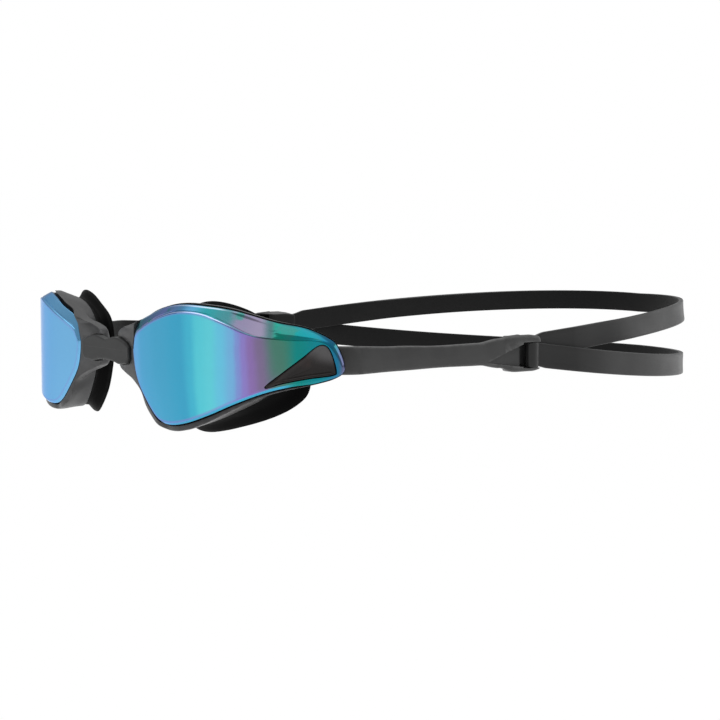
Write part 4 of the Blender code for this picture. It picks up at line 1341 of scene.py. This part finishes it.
def add_floor():
    half = 30.0
    below = 0.17                 # depth of the floor under the goggles
    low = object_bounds()[0].z
    mesh = bpy.data.meshes.new("floor")
    mesh.from_pydata([(-half, -half, 0), (half, -half, 0), (half, half, 0),
                      (-half, half, 0)], [], [(0, 1, 2, 3)])
    floor = put("floor", mesh)
    floor.location = (0, 0, low - below)
    mesh.materials.append(floor_material())


def add_world():
    """White to the camera; otherwise a sky that brightens to the zenith."""
    world = bpy.data.worlds.new("studio")
    bpy.context.scene.world = world
    m = NodeTree(world)
    m.tree.nodes.clear()
    direction = m.add("TexCoord").outputs["Generated"]
    split = m.add("SeparateXYZ")
    m.feed(split.inputs[0], direction)
    height = m.map_range(split.outputs["Z"], -1.0, 1.0)
    sky = m.ramp(height, [
        (0.30, (0.50, 0.51, 0.53, 1)), (0.52, (0.66, 0.67, 0.68, 1)),
        (0.86, (0.90, 0.90, 0.90, 1)), (0.92, (2.4, 2.4, 2.4, 1))])
    lit = m.add("Background", Color=sky, Strength=0.72)
    seen = m.add("Background", Color=(1, 1, 1, 1), Strength=1.0)
    blend = m.mix_shader(m.add("LightPath").outputs["Is Camera Ray"],
                         lit.outputs[0], seen.outputs[0])
    m.feed(m.add("OutputWorld").inputs[0], blend)


def area_light(name, location, size, power, shiny=False):
    """Rectangular light aimed at the middle of the goggles."""
    light = bpy.data.lights.new(name, "AREA")
    light.shape = "RECTANGLE"
    light.size, light.size_y = size
    light.energy = power
    ob = put(name, light)
    ob.location = location
    aim = Vector((0, 0.09, 0)) - Vector(location)
    ob.rotation_euler = aim.to_track_quat("-Z", "Y").to_euler()
    ob.visible_glossy = shiny


def add_camera():
    """Looks from the front left, a little above."""
    azimuth, elevation = math.radians(54.0), math.radians(5.0)
    distance = 0.694
    target = Vector((0.0, 0.0982, -0.0089))
    back = Vector((math.sin(azimuth) * math.cos(elevation),
                   -math.cos(azimuth) * math.cos(elevation),
                   math.sin(elevation)))
    data = bpy.data.cameras.new("camera")
    data.sensor_width = 36.0
    data.lens = 102.365
    data.clip_start = 0.01
    camera = put("camera", data)
    camera.location = target + back * distance
    camera.rotation_euler = (-back).to_track_quat("-Z", "Y").to_euler()
    bpy.context.scene.camera = camera


# ----------------------------------------------------------------- build
nose_bridge()
for tag, side in (("left", 1), ("right", -1)):
    for piece in (lens_piece, inlay_piece, frame_piece, gasket_piece,
                  arm_piece, adjuster_bar, strap_stud):
        piece(tag, side)
band("strap_band_upper", up=1, z_front=3.0, z_back=9.4, rise=1.5, sag=-0.08,
     width=7.5, lean_deg=15.0,
     nodes=("rear_strap_upper", "strap_tail_left", "strap_tail_right"))
band("strap_band_lower", up=-1, z_front=-0.15, z_back=-10.2, rise=1.35,
     sag=-0.25, width=7.9, lean_deg=0.0,
     nodes=("rear_strap_lower", "strap_tail_left", "strap_tail_right"))

add_floor()
add_world()
area_light("key_box", location=(0.25, 0.0, 0.75), size=(0.7, 0.5), power=2.2)
area_light("side_box", location=(0.85, -0.25, 0.28), size=(0.5, 0.6),
           power=0.6)
area_light("rear_box", location=(0.30, 1.05, 0.3), size=(0.6, 0.5), power=1.6,
           shiny=True)
add_camera()
view = bpy.context.scene.view_settings
view.view_transform = "Standard"
view.look = "None"
view.exposure = 0.0
